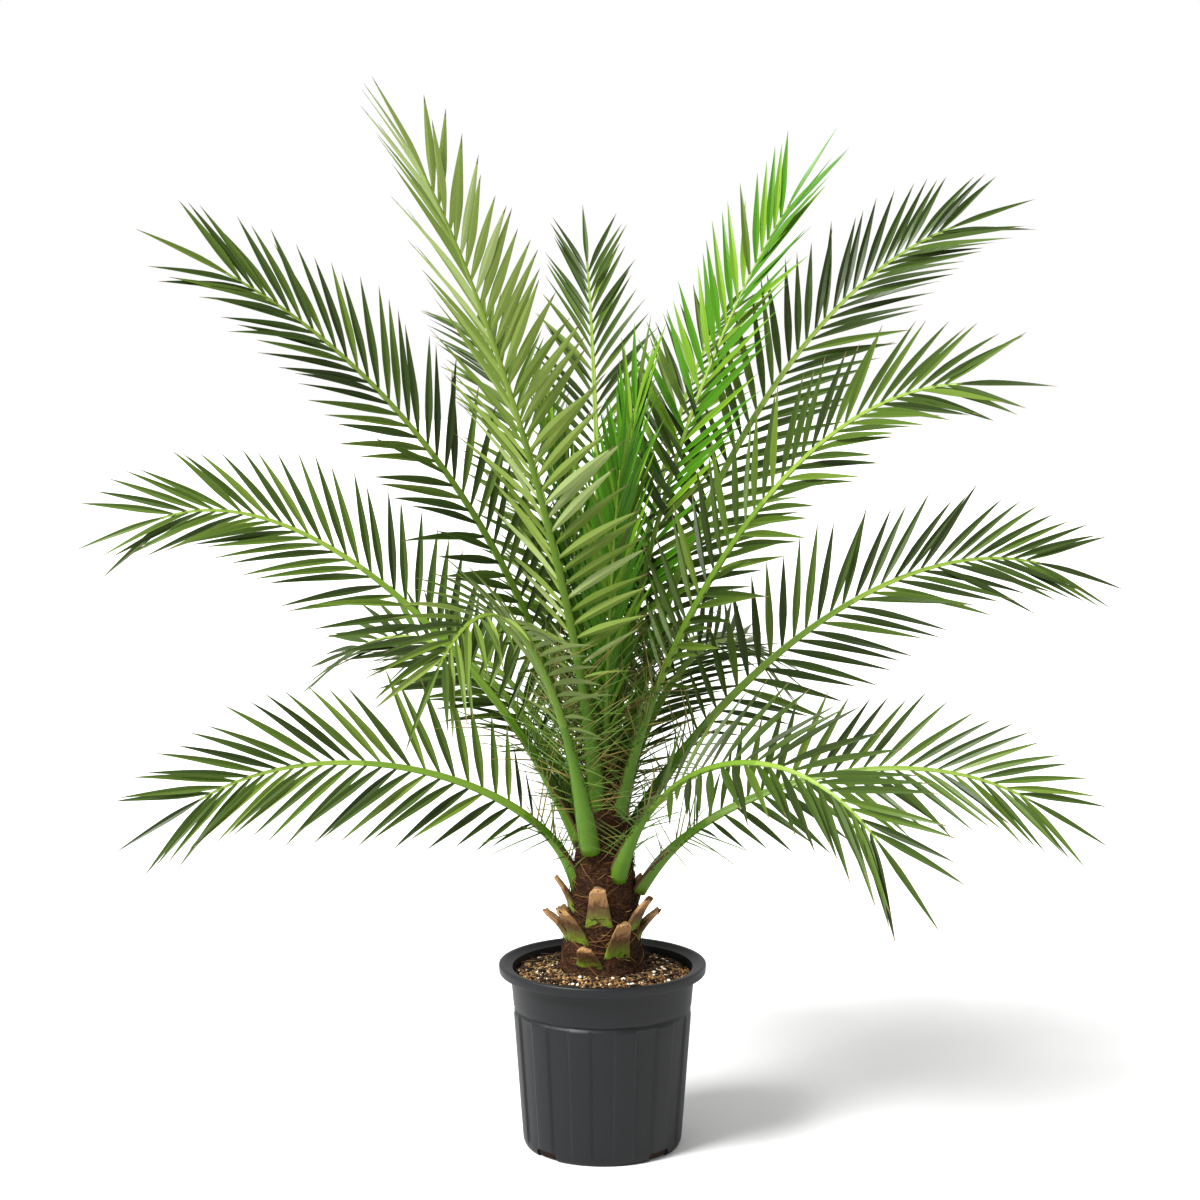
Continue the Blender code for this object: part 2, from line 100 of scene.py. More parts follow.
def add_node(tree: bpy.types.NodeTree, kind: str, links: dict | None = None,
             **settings: object) -> bpy.types.Node:
    """Add one shader node.

    Args:
        tree: The node tree to add to.
        kind: Blender's node type, such as "ShaderNodeTexNoise".
        links: Input names or numbers, each with an output socket that feeds it.
        settings: Attributes of the node, or with a leading "in_" default values of its inputs.

    Returns:
        The new node.
    """
    node = tree.nodes.new(kind)
    for name, value in settings.items():
        if name.startswith("in_"):
            node.inputs[name[3:].replace("_", " ")].default_value = value
        else:
            setattr(node, name, value)
    for name, socket in (links or {}).items():
        tree.links.new(socket, node.inputs[name])
    return node


@dataclass(frozen=True)
class Surface:
    """Anything with a material of its own name, which is made on its first use."""

    name: str

    def material(self) -> bpy.types.Material:
        """Find the material, or make and dress it.

        Returns:
            The material.
        """
        material = bpy.data.materials.get(self.name)
        if material is None:
            material = bpy.data.materials.new(self.name)
            material.use_nodes = True
            self.dress(material, material.node_tree.nodes["Principled BSDF"])
        return material

    def dress(self, material: bpy.types.Material, shader: bpy.types.Node) -> None:
        """Set the shader, which each kind of surface does in its own way."""
        raise NotImplementedError


@dataclass(frozen=True)
class Finish(Surface):
    """A finish of one plain colour, or of several that a grain mixes.

    grain_mm is the size of the grain, stretch squeezes it along each axis and relief_mm is how far it
    stands up. The ramp spreads the colours over the levels that Blender's noise mostly has.
    """

    colours: tuple[str, ...]
    roughness: float
    ior: float = 1.45
    grain_mm: float = 0.0
    relief_mm: float = 0.0
    stretch: tuple[float, float, float] = (1.0, 1.0, 1.0)
    noise_detail: float = 6.0
    noise_roughness: float = 0.6
    ramp_start: float = 0.32
    ramp_span: float = 0.36
    bump_strength: float = 0.6

    def dress(self, material: bpy.types.Material, shader: bpy.types.Node) -> None:
        """Give a material its plain colour and gloss, and its grain if it has one.

        Args:
            material: The material.
            shader: Its Principled shader.
        """
        plain = linear(self.colours[0])
        shader.inputs["Base Color"].default_value = plain
        shader.inputs["Roughness"].default_value = self.roughness
        shader.inputs["IOR"].default_value = self.ior
        material.diffuse_color = plain
        if self.grain_mm:
            self._add_grain(material.node_tree, shader)

    def _add_grain(self, tree: bpy.types.NodeTree, shader: bpy.types.Node) -> None:
        """Add a noise of the finish's own grain size to its colour and its relief.

        Args:
            tree: The material's nodes.
            shader: Its Principled shader.
        """
        place = add_node(tree, "ShaderNodeTexCoord")
        scaled = add_node(tree, "ShaderNodeMapping", {"Vector": place.outputs["Object"]},
                          in_Scale=self.stretch)
        grain = add_node(tree, "ShaderNodeTexNoise", {"Vector": scaled.outputs["Vector"]},
                         in_Scale=1 / (self.grain_mm * MM), in_Detail=self.noise_detail,
                         in_Roughness=self.noise_roughness)
        if len(self.colours) > 1:
            ramp = add_node(tree, "ShaderNodeValToRGB", {"Fac": grain.outputs["Fac"]})
            stops = ramp.color_ramp.elements
            while len(stops) < len(self.colours):
                stops.new(0.5)
            for index, colour in enumerate(self.colours):
                stops[index].position = self.ramp_start + self.ramp_span * index / (len(self.colours) - 1)
                stops[index].color = linear(colour)
            tree.links.new(ramp.outputs["Color"], shader.inputs["Base Color"])
        if self.relief_mm:
            bump = add_node(tree, "ShaderNodeBump", {"Height": grain.outputs["Fac"]},
                            in_Strength=self.bump_strength, in_Distance=self.relief_mm * MM)
            tree.links.new(bump.outputs["Normal"], shader.inputs["Normal"])


@dataclass(frozen=True)
class SheathFinish(Surface):
    """A dried leaf base, whose colour runs from its living foot to its cut end.

    The colours lie at the levels of the ramp, which reads the height on the base, moved up by the
    streaks. fibre_draw is the pattern's scale along the sheath, which below 1 draws the fibres out.
    """

    foot: str
    middle: str
    upper: str
    end: str
    roughness: float = 0.62
    fibre_mm: float = 4.0
    fibre_draw: float = 0.16
    noise_detail: float = 5.0
    streak_share: float = 0.55
    foot_level: float = 0.42
    middle_level: float = 0.60
    upper_level: float = 0.80
    end_level: float = 1.0
    relief_mm: float = 1.2
    bump_strength: float = 0.7

    def dress(self, material: bpy.types.Material, shader: bpy.types.Node) -> None:
        """Give a material its run of colours, streaked by the sheath's fibres.

        Args:
            material: The material.
            shader: Its Principled shader.
        """
        tree = material.node_tree
        shader.inputs["Roughness"].default_value = self.roughness
        place = add_node(tree, "ShaderNodeTexCoord")
        # The real fibres are about 1.5 mm wide, too fine to show here, so they are drawn at 4 mm.
        along = add_node(tree, "ShaderNodeMapping", {"Vector": place.outputs["Object"]},
                         in_Scale=(1.0, 1.0, self.fibre_draw))
        streak = add_node(tree, "ShaderNodeTexNoise", {"Vector": along.outputs["Vector"]},
                          in_Scale=1 / (self.fibre_mm * MM), in_Detail=self.noise_detail)
        rise = add_node(tree, "ShaderNodeSeparateXYZ", {"Vector": place.outputs["Generated"]})
        level = add_node(tree, "ShaderNodeMath", {0: streak.outputs["Fac"], 2: rise.outputs["Z"]},
                         operation="MULTIPLY_ADD")
        level.inputs[1].default_value = self.streak_share
        ramp = add_node(tree, "ShaderNodeValToRGB", {"Fac": level.outputs["Value"]})
        stops = ramp.color_ramp.elements
        stops[0].position = self.foot_level
        stops[0].color = linear(self.foot)
        stops[1].position = self.end_level
        stops[1].color = linear(self.end)
        stops.new(self.middle_level).color = linear(self.middle)
        stops.new(self.upper_level).color = linear(self.upper)
        tree.links.new(ramp.outputs["Color"], shader.inputs["Base Color"])
        bump = add_node(tree, "ShaderNodeBump", {"Height": streak.outputs["Fac"]},
                        in_Strength=self.bump_strength, in_Distance=self.relief_mm * MM)
        tree.links.new(bump.outputs["Normal"], shader.inputs["Normal"])


# Moulded polypropylene: a charcoal satin with a faint orange-peel skin that softens its highlights.
POT_PLASTIC = Finish("moulded_polypropylene", ("121315", "16171A"), 0.46, 1.45, 1.6, 0.05)
# Damp potting mix: dark, matt and crumbly under the dressing of grit.
DAMP_PEAT = Finish("damp_peat", ("1A110B", "2E1F15", "412E20"), 0.95, 1.4, 3.0, 1.5)
# Crushed grit and perlite: dry mineral grains that catch the light one by one.
BROWN_GRIT = Finish("brown_grit", ("3D291A",), 0.9)
PERLITE = Finish("perlite", ("DDD5C4",), 0.75)
PEAT_CRUMB = Finish("peat_crumb", ("1A110C",), 0.95)
GRAINS = (
    Finish("tan_grit", ("86683F",), 0.85),
    Finish("ochre_grit", ("67492A",), 0.85),
    BROWN_GRIT,
    Finish("pale_grit", ("AB9167",), 0.8),
    PERLITE,
    PEAT_CRUMB,
)
GRAIN_SHARES = (0.24, 0.20, 0.23, 0.08, 0.03, 0.22)
# The grains dealt near the trunk, where they paint the shade under the leaf bases and the crown.
SHADE_GRAINS = (BROWN_GRIT, PEAT_CRUMB)
# Composted bark and dry root: dull scraps, dark and straw-pale, that break up the grit.
BARK_CHIP = Finish("bark_chip", ("2A1B12",), 0.85)
ROOT_STRAW = Finish("root_straw", ("8E744A",), 0.8)
# Matted sheath fibre: brown and dull, its relief modelled, with a finer tangle from the noise.
SHEATH_MAT = Finish("matted_sheath_fibre", ("150C07", "382415", "5A3D27"), 0.95, 1.3, 5.0, 2.4, (1, 1, 2.2))
# Loose dry fibres, from umber to straw: the pale ones draw the criss-cross that the eye reads first.
STRANDS = (
    Finish("umber_fibre", ("26170E",), 0.9, 1.3),
    Finish("russet_fibre", ("503320",), 0.9, 1.3),
    Finish("tan_fibre", ("85653F",), 0.85, 1.3),
    Finish("straw_fibre", ("B89C5F",), 0.8, 1.3),
)
# How often each is dealt low on the trunk, and high up where the petioles leave it.
STRAND_SHARES_LOW = (3, 4, 2, 0.5)
STRAND_SHARES_HIGH = (1, 2, 3, 4)
# A pruned leaf base: leathery and half dull, still green where it clasps the trunk, dried tan above.
LEAF_BASE = SheathFinish("dried_leaf_base", "6E8420", "66602A", "5A3D26", "9A7850")
# Its sawn end: open pith, matt and mottled in tans.
CUT_PITH = Finish("cut_pith", ("6E5034", "94744E", "AC9068"), 0.85, 1.4, 2.0, 0.8)
# Waxy living petiole: green at the foot, yellowing along the rib, smooth enough for a soft streak.
RIB_TONES = (
    Finish("petiole_foot", ("4F7016",), 0.42, 1.38),
    Finish("petiole_green", ("53751E",), 0.40, 1.38),
    Finish("rib_green", ("65812B",), 0.42, 1.38),
    Finish("rib_yellow", ("788F38",), 0.45, 1.38),
)
# The petiole's dried margins: thin brown lines up both of its edges.
PETIOLE_EDGE = Finish("petiole_margin", ("5E4028",), 0.75)
# Spines are hard leaflets, green when fresh and straw-coloured when dry.
GREEN_SPINE = Finish("green_spine", ("5A742A",), 0.5)
STRAW_SPINE = Finish("straw_spine", ("877B42",), 0.6)
# Below, the blade is dull and grey-green, and its point dries to a straw brown.
UNDERSIDE = Finish("leaf_underside", ("5F6E38",), 0.6, 1.35)
DRY_TIP = Finish("leaf_dry_tip", ("665B38",), 0.7)


class LeafColour(Enum):
    """Leaflet greens, each the plain colour of a cuticle whose wax gives it a soft shine."""

    DEEP = Finish("leaf_deep", ("2E3D12",), 0.42, 1.35)
    FOREST = Finish("leaf_forest", ("3B4E18",), 0.42, 1.35)
    MIDDLE = Finish("leaf_middle", ("4C611F",), 0.44, 1.35)
    FRESH = Finish("leaf_fresh", ("5C7028",), 0.44, 1.35)
    LIGHT = Finish("leaf_light", ("73853E",), 0.46, 1.35)
    BRIGHT = Finish("leaf_bright", ("45750E",), 0.42, 1.35)
    LIME = Finish("leaf_lime", ("66891F",), 0.44, 1.35)
    PALE = Finish("leaf_pale", ("8B9A62",), 0.48, 1.35)


class Tone(Enum):
    """The greens that a frond deals to its leaflets, weighted by its age, except the dark tone, which is
    painted shade for the fronds at the back and on the right.
    """

    # Painted shade: the darkest greens, for fronds at the back and on the right, away from the key light.
    SHADED = ((LeafColour.DEEP, 4), (LeafColour.FOREST, 4), (LeafColour.MIDDLE, 2))
    GREEN = ((LeafColour.DEEP, 2), (LeafColour.FOREST, 4), (LeafColour.MIDDLE, 3), (LeafColour.FRESH, 1))
    FRESH = ((LeafColour.FOREST, 1), (LeafColour.MIDDLE, 3), (LeafColour.FRESH, 4), (LeafColour.LIGHT, 2))
    PALE = ((LeafColour.FRESH, 2), (LeafColour.LIGHT, 5), (LeafColour.PALE, 3))
    YOUNG = ((LeafColour.BRIGHT, 5), (LeafColour.LIME, 3), (LeafColour.MIDDLE, 1))


@dataclass
class Skin:
    """Vertices, faces and their finishes, gathered before they become one object."""

    vertices: list[Vector] = field(default_factory=list)
    faces: list[tuple[int, ...]] = field(default_factory=list)
    slots: list[int] = field(default_factory=list)
    finishes: list[Surface] = field(default_factory=list)

    def slot_of(self, finish: Surface) -> int:
        """Find a finish, or add it.

        Args:
            finish: The finish.

        Returns:
            Its index among the skin's finishes.
        """
        if finish not in self.finishes:
            self.finishes.append(finish)
        return self.finishes.index(finish)

    def add(self, vertices: Sequence[Vector], faces: Sequence[tuple], finish: Surface) -> None:
        """Add a closed surface in one finish.

        Args:
            vertices: Its points.
            faces: Its faces, as indices of those points.
            finish: What it is dressed in.
        """
        base = len(self.vertices)
        index = self.slot_of(finish)
        self.vertices.extend(vertices)
        for face in faces:
            self.faces.append(tuple(base + corner for corner in face))
            self.slots.append(index)

    def dress_blade(self, start: int, sections: int, tone: Tone) -> None:
        """Give a leaflet its underside and its dry point, where its frond's age shows them.

        Args:
            start: The index of the leaflet's first face.
            sections: How many cross-sections it has.
            tone: The frond's tone. A pale frond is the same on both sides, and a young one is too, and
                is green to the point.
        """
        if tone not in (Tone.PALE, Tone.YOUNG):
            below = self.slot_of(UNDERSIDE)
            for section in range(sections - 1):
                for face in BLADE_UNDER:
                    self.slots[start + section * BLADE_POINTS + face] = below
        if tone is not Tone.YOUNG:
            first = start + (sections - 2) * BLADE_POINTS
            self.slots[first:first + BLADE_POINTS] = [self.slot_of(DRY_TIP)] * BLADE_POINTS

    def build(self, name: str, slot: str, nodes: Sequence[str],
              shade_smooth: bool = True) -> bpy.types.Object:
        """Make the object, ride it on the plant's body and let it stand for CAD nodes.

        Args:
            name: The piece's name.
            slot: The record's material slot, which is not used.
            nodes: The CAD nodes that it replaces, or none where it only adds to another piece.
            shade_smooth: Whether its faces are shaded smooth.

        Returns:
            The new object.
        """
        mesh = bpy.data.meshes.new(name)
        mesh.from_pydata([tuple(v) for v in self.vertices], [], self.faces)
        for finish in self.finishes:
            mesh.materials.append(finish.material())
        mesh.polygons.foreach_set("material_index", self.slots)
        mesh.polygons.foreach_set("use_smooth", [shade_smooth] * len(self.faces))
        mesh.update()
        piece = bpy.data.objects.new(name, mesh)
        bpy.context.scene.collection.objects.link(piece)
        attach(piece, BODY)
        if nodes:
            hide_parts(*nodes)
        LOG.info("%s: %d faces", name, len(self.faces))
        return piece


def ring_faces(rings: int, sides: int) -> list[tuple]:
    """Faces of a capped skin over rings of equal size.

    Args:
        rings: How many rings there are.
        sides: How many points each has.

    Returns:
        The faces as tuples of vertex indices.
    """
    faces = []
    for ring in range(rings - 1):
        low = ring * sides
        high = low + sides
        for side in range(sides):
            after = (side + 1) % sides
            faces.append((low + side, low + after, high + after, high + side))
    faces.append(tuple(reversed(range(sides))))
    faces.append(tuple(range((rings - 1) * sides, rings * sides)))
    return faces


def tube(path: Sequence[Vector], radii: Sequence[float], sides: int = 3) -> tuple[list, list]:
    """A thin round tube along a path.

    Args:
        path: Its centre line.
        radii: Its radius at each point.
        sides: How many sides it has.

    Returns:
        Its vertices and faces.
    """
    vertices = []
    for index, point in enumerate(path):
        ahead = path[min(index + 1, len(path) - 1)]
        behind = path[max(index - 1, 0)]
        along = (ahead - behind).normalized()
        # The vertical sets the tube's sides, or where the tube is itself near vertical, the X axis does.
        spare = Vector((0, 0, 1)) if abs(along.z) < 0.9 else Vector((1, 0, 0))
        side = along.cross(spare).normalized()
        up = side.cross(along)
        for angle in round_angles(sides):
            vertices.append(point + (side * math.cos(angle) - up * math.sin(angle)) * radii[index])
    return vertices, ring_faces(len(path), sides)


@dataclass
class Pot:
    """The moulded container, as one turned skin with soft flutes and four drain notches."""

    height: float = 268 * MM
    lip_radius: float = 150 * MM
    lip_inner: float = 141 * MM
    lip_depth: float = 14 * MM
    rim_rise: float = 2 * MM
    rim_steps: int = 6
    band_top: float = 133 * MM
    band_foot: float = 129 * MM
    band_end: float = 207 * MM
    band_steps: int = 5
    groove: float = 126.5 * MM
    groove_height: float = 203 * MM
    flute_top: float = 129.5 * MM
    flute_foot: float = 116.5 * MM
    flute_start: float = 196 * MM
    flute_end: float = 17 * MM
    flute_steps: int = 12
    flute_depth: float = 2.4 * MM
    flute_count: int = 12
    panel_share: float = 0.45
    edge_share: float = 0.035
    foot: float = 113 * MM
    wall: float = 2.5 * MM
    wall_bow: float = 2 * MM
    cavity_levels: tuple[float, ...] = (3 * MM, 60 * MM, 130 * MM, 200 * MM, 252 * MM, 262 * MM)
    columns: int = 360
    crease_degrees: float = 40.0
    notch_count: int = 4
    notch_width: float = 38 * MM
    notch_height: float = 12 * MM
    notch_corner: float = 5 * MM
    notch_corner_steps: int = 4
    notch_reach: tuple[float, float] = (103 * MM, 125 * MM)

    def recess(self, angle: float) -> float:
        """How deep a bearing lies in the flutes.

        Args:
            angle: The bearing in radians.

        Returns:
            A share from 0 on a raised panel to 1 in a recess.
        """
        period = math.tau / self.flute_count
        place = ((angle + math.pi / 2) / period) % 1.0
        from_centre = abs(place - 0.5)
        return smooth((from_centre - self.panel_share / 2) / self.edge_share)

    def corner(self, radius: float, height: float, *steps: tuple[float, float]) -> list[tuple]:
        """Unfluted rows of the profile round one corner, each so many mm out and up from it."""
        return [(radius + out * MM, height + up * MM, 0.0) for out, up in steps]

    def outer_profile(self) -> list[tuple[float, float, float]]:
        """The outside from the rim to the foot.

        Returns:
            Rows of radius, height and share of the flutes' depth.
        """
        shoulder = self.height - self.rim_rise
        under = self.height - self.lip_depth
        centre = (self.lip_inner + self.lip_radius) / 2
        half = (self.lip_radius - self.lip_inner) / 2
        rows = [(self.lip_inner, shoulder, 0.0)]
        for step in range(self.rim_steps + 1):
            turn = math.pi * step / self.rim_steps
            rows.append((centre - half * math.cos(turn), shoulder + self.rim_rise * math.sin(turn), 0.0))
        rows += self.corner(self.lip_radius, under, (0, 8), (-0.4, 2), (-1.5, 0.3), (-3.5, 0))
        rows += self.corner(self.band_top, under, (3, 0), (0.8, -1))
        for step in range(self.band_steps + 1):
            share = step / self.band_steps
            height = mix(under - 3 * MM, self.band_end, share)
            rows.append((mix(self.band_top, self.band_foot, share), height, 0.0))
        rows += self.corner(self.band_foot, self.groove_height, (-0.8, 1.8))
        rows += self.corner(self.groove, self.groove_height, (0, 0), (0.6, -2))
        # The flutes fade in under the groove, run down the wall and fade out above the foot.
        rows.append((self.flute_top - 0.5 * MM, self.flute_start + 3 * MM, 0.35))
        for step in range(self.flute_steps + 1):
            share = step / self.flute_steps
            height = mix(self.flute_start, self.flute_end, share)
            rows.append((mix(self.flute_top, self.flute_foot, share), height, 1.0))
        rows.append((self.flute_foot - 0.6 * MM, self.flute_end - 5 * MM, 0.4))
        return rows + self.corner(self.foot, 0.0, (1.6, 6), (0, 2.6), (-1.4, 0.7), (-3.5, 0))

    def cavity_radius(self, height: float) -> float:
        """The inner wall's radius.

        Args:
            height: The height to read it at.

        Returns:
            The radius.
        """
        share = min(max(height / (self.height - self.lip_depth), 0.0), 1.0)
        low = self.flute_foot - self.flute_depth - self.wall
        high = self.band_top - self.wall
        return mix(low, high, share) - self.wall_bow * math.sin(math.pi * share)

    def faces(self, rings: int, floor_ring: int) -> list[tuple]:
        """Faces that run down the outside, and up the inside, and close both sides of the floor.

        Args:
            rings: How many rings there are.
            floor_ring: The last ring of the outside.

        Returns:
            The faces as tuples of vertex indices.
        """
        sides = self.columns
        faces = []
        for ring in range(rings):
            if ring == floor_ring:
                continue
            low = ring * sides
            high = ((ring + 1) % rings) * sides
            for side in range(sides):
                after = (side + 1) % sides
                faces.append((low + after, low + side, high + side, high + after))
        faces.append(tuple(reversed(range(floor_ring * sides, (floor_ring + 1) * sides))))
        faces.append(tuple(range((floor_ring + 1) * sides, (floor_ring + 2) * sides)))
        return faces

    def build(self) -> None:
        """Turn the profile, dress the pot and cut its notches."""
        angles = round_angles(self.columns)
        rings = [[polar(r - self.flute_depth * depth * self.recess(a), a, z) for a in angles]
                 for r, z, depth in self.outer_profile()]
        floor_ring = len(rings) - 1
        rings += [[polar(self.cavity_radius(z), a, z) for a in angles] for z in self.cavity_levels]
        skin = Skin()
        points = [point for ring in rings for point in ring]
        skin.add(points, self.faces(len(rings), floor_ring), POT_PLASTIC)
        pot = skin.build("pot_shell", "pot", ["pot"])
        for notch in range(self.notch_count):
            self._cut_notch(pot, math.tau * (notch + 0.5) / self.notch_count)
        pot.data.set_sharp_from_angle(angle=math.radians(self.crease_degrees))

    def _cut_notch(self, pot: bpy.types.Object, angle: float) -> None:
        """Cut one drain notch through the foot of the wall.

        Args:
            pot: The pot's object.
            angle: The notch's bearing in radians.
        """
        cutter = self._notch_cutter(angle)
        boolean = pot.modifiers.new("notch", "BOOLEAN")
        boolean.operation = "DIFFERENCE"
        boolean.object = cutter
        graph = bpy.context.evaluated_depsgraph_get()
        cut = bpy.data.meshes.new_from_object(pot.evaluated_get(graph))
        pot.modifiers.clear()
        pot.data = cut
        bpy.data.objects.remove(cutter, do_unlink=True)

    def _notch_cutter(self, angle: float) -> bpy.types.Object:
        """A round-topped block across the foot of the wall.

        Args:
            angle: Its bearing in radians.

        Returns:
            The block's object.
        """
        out = polar(1.0, angle, 0.0)
        across = Vector((-out.y, out.x, 0))
        half = self.notch_width / 2
        corner = self.notch_corner
        rise = self.notch_height - corner
        arc = [math.pi / 2 * k / self.notch_corner_steps for k in range(self.notch_corner_steps + 1)]
        outline = [(-half, -self.notch_height), (half, -self.notch_height)]
        outline += [(half - corner + corner * math.cos(a), rise + corner * math.sin(a)) for a in arc]
        outline += [(corner - half - corner * math.sin(a), rise + corner * math.cos(a)) for a in arc]
        points = [out * reach + across * x + Vector((0, 0, z))
                  for reach in self.notch_reach for x, z in outline]
        mesh = bpy.data.meshes.new("notch_cutter")
        mesh.from_pydata([tuple(p) for p in points], [], ring_faces(2, len(outline)))
        shape = bmesh.new()
        shape.from_mesh(mesh)
        bmesh.ops.recalc_face_normals(shape, faces=shape.faces)
        shape.to_mesh(mesh)
        shape.free()
        cutter = bpy.data.objects.new("notch_cutter", mesh)
        bpy.context.scene.collection.objects.link(cutter)
        return cutter


@dataclass
class Soil:
    """The potting mix under a dressing of grit, bark and root straw.

    crumb_noise holds the roughness, the step and the octaves of the fractal that makes its crumbs.
    """

    pot: Pot
    edge_height: float = 250 * MM
    top_height: float = 260 * MM
    top_radius: float = 80 * MM
    trunk_radius: float = 58 * MM
    inner_radius: float = 30 * MM
    plug_levels: tuple[float, ...] = (3.4 * MM, 90 * MM, 180 * MM)
    plug_gap: float = 0.4 * MM
    edge_gap: float = 0.3 * MM
    edge_drop: float = 4 * MM
    sink: float = 1.5 * MM
    crumb_size: float = 7 * MM
    crumb_relief: float = 1.6 * MM
    crumb_noise: tuple[float, float, int] = (0.6, 2.0, 4)
    rings: int = 34
    columns: int = 150
    wall_clearance: float = 3 * MM
    grain_count: int = 5200
    grain_sizes: tuple[float, float] = (1.3 * MM, 3.1 * MM)
    grain_squash: tuple[tuple[float, float], ...] = ((0.8, 1.25), (0.8, 1.2), (0.6, 0.95))
    grain_lift: tuple[float, float] = (-0.2, 1.0)
    grain_bumps: float = 0.16
    grain_waves: tuple[float, float] = (7, 5)
    perlite_scale: float = 1.15
    # Painted shade: how far out the soil darkens under the leaf bases, how softly it fades, and how many
    # grains there turn dark.
    shade_radius: float = 82 * MM
    shade_fade: float = 30 * MM
    shade_share: float = 0.75
    chip_count: int = 260
    chip_mm: tuple[float, float] = (9, 24)
    chip_tilt: tuple[float, float] = (-0.05, 0.2)
    chip_bow: float = 0.12
    chip_arch: float = 0.3
    chip_lift: float = 3.2 * MM
    chip_clearance: float = 2 * MM
    chip_radii_mm: tuple[float, float] = (1.0, 1.9)
    chip_taper: tuple[float, ...] = (0.6, 1.0, 1.0, 0.9, 0.5)
    chip_sides: int = 5
    straw_share: float = 0.55
    straw_radius_mm: float = 0.5

    def surface(self, radius: float) -> float:
        """The undressed soil's height, which rises gently from the wall to the trunk.

        Args:
            radius: The radius to read it at.

        Returns:
            The height.
        """
        edge = self.pot.cavity_radius(self.edge_height) - self.edge_gap
        share = smooth((edge - radius) / (edge - self.top_radius))
        return mix(self.edge_height, self.top_height, share) - self.sink

    def build(self) -> None:
        """Build the plug of potting mix and dress it."""
        dice = random.Random(SEED + 1)
        self._build_plug()
        self._build_grains(dice)
        self._build_chips(dice)

    def _build_plug(self) -> None:
        """The plug that fills the pot, with a crumbly top."""
        angles = round_angles(self.columns)
        outline = [(self.pot.cavity_radius(z) - self.plug_gap, z) for z in self.plug_levels]
        edge = self.pot.cavity_radius(self.edge_height) - self.plug_gap
        outline.append((edge, self.edge_height - self.edge_drop))
        vertices = [polar(r, a, z) for r, z in outline for a in angles]
        for ring in range(self.rings):
            radius = mix(edge, self.inner_radius, ring / (self.rings - 1))
            for angle in angles:
                spot = polar(radius, angle, 0)
                crumb = noise.fractal(spot / self.crumb_size, *self.crumb_noise) * self.crumb_relief
                vertices.append(polar(radius, angle, self.surface(radius) + crumb))
        skin = Skin()
        skin.add(vertices, ring_faces(len(outline) + self.rings, self.columns), DAMP_PEAT)
        skin.build("soil_plug", "soil", ["soil"])

    def _spot(self, dice: random.Random) -> tuple[Vector, float]:
        """A random place on the soil between the trunk and the wall.

        Args:
            dice: The soil's random numbers.

        Returns:
            The place and its radius.
        """
        edge = self.pot.cavity_radius(self.edge_height) - self.wall_clearance
        radius = math.sqrt(dice.uniform(self.trunk_radius ** 2, edge ** 2))
        return polar(radius, dice.uniform(0, math.tau), self.surface(radius)), radius

    def _build_grains(self, dice: random.Random) -> None:
        """Rounded grains in several colours, mostly dark ones near the trunk as painted shade under the leaf
        bases and the crown.

        Args:
            dice: The soil's random numbers.
        """
        ball = bmesh.new()
        bmesh.ops.create_icosphere(ball, subdivisions=1, radius=1.0)
        corners = [v.co.copy() for v in ball.verts]
        faces = [tuple(v.index for v in f.verts) for f in ball.faces]
        ball.free()
        skin = Skin()
        for _ in range(self.grain_count):
            spot, radius = self._spot(dice)
            # Painted shade: close to the trunk, under the leaf bases, most grains are dealt from the dark
            # ones.
            near = smooth((self.shade_radius - radius) / self.shade_fade)
            finish = dice.choices(GRAINS, GRAIN_SHARES)[0]
            if dice.random() < near * self.shade_share:
                finish = dice.choice(SHADE_GRAINS)
            size = dice.uniform(*self.grain_sizes) * (self.perlite_scale if finish is PERLITE else 1.0)
            squash = Vector([dice.uniform(low, high) for low, high in self.grain_squash])
            turn = dice.uniform(0, math.tau)
            spot += Vector((0, 0, dice.uniform(*self.grain_lift) * size))
            points = [spot + self._grain_corner(corner, squash, size, turn) for corner in corners]
            skin.add(points, faces, finish)
        skin.build("soil_grit", "soil", [])

    def _grain_corner(self, corner: Vector, squash: Vector, size: float, turn: float) -> Vector:
        """Move one corner of a ball to where a lumpy grain has it.

        Args:
            corner: The corner on a ball of radius 1.
            squash: The grain's scale along each axis.
            size: Its radius.
            turn: Its heading in radians, which also moves its lumps.

        Returns:
            The corner about the grain's centre.
        """
        wave_x, wave_y = self.grain_waves
        lump = 1 + self.grain_bumps * math.sin(wave_x * corner.x + turn) * math.cos(wave_y * corner.y - turn)
        bumpy = corner * lump
        local = Vector((bumpy.x * squash.x, bumpy.y * squash.y, bumpy.z * squash.z)) * size
        return Vector((local.x * math.cos(turn) - local.y * math.sin(turn),
                       local.x * math.sin(turn) + local.y * math.cos(turn),
                       local.z))

    def _build_chips(self, dice: random.Random) -> None:
        """Bark chips and bits of dry root that lie on the grit.

        Args:
            dice: The soil's random numbers.
        """
        edge = self.pot.cavity_radius(self.edge_height) - self.chip_clearance
        last = len(self.chip_taper) - 1
        skin = Skin()
        for _ in range(self.chip_count):
            spot, _ = self._spot(dice)
            straw = dice.random() < self.straw_share
            length = dice.uniform(*self.chip_mm) * MM
            heading = dice.uniform(0, math.tau)
            along = Vector((math.cos(heading), math.sin(heading), dice.uniform(*self.chip_tilt)))
            bow = Vector((-along.y, along.x, self.chip_arch)) * length
            bow *= dice.uniform(-self.chip_bow, self.chip_bow)
            start = spot + Vector((0, 0, self.chip_lift))
            path = [start + along * length * (k / last) + bow * math.sin(math.pi * k / last)
                    for k in range(last + 1)]
            if max(math.hypot(p.x, p.y) for p in path) > edge:
                continue
            thick = (self.straw_radius_mm if straw else dice.uniform(*self.chip_radii_mm)) * MM
            radii = [thick * share for share in self.chip_taper]
            skin.add(*tube(path, radii, self.chip_sides), ROOT_STRAW if straw else BARK_CHIP)
        skin.build("soil_bark_and_straw", "soil", [])


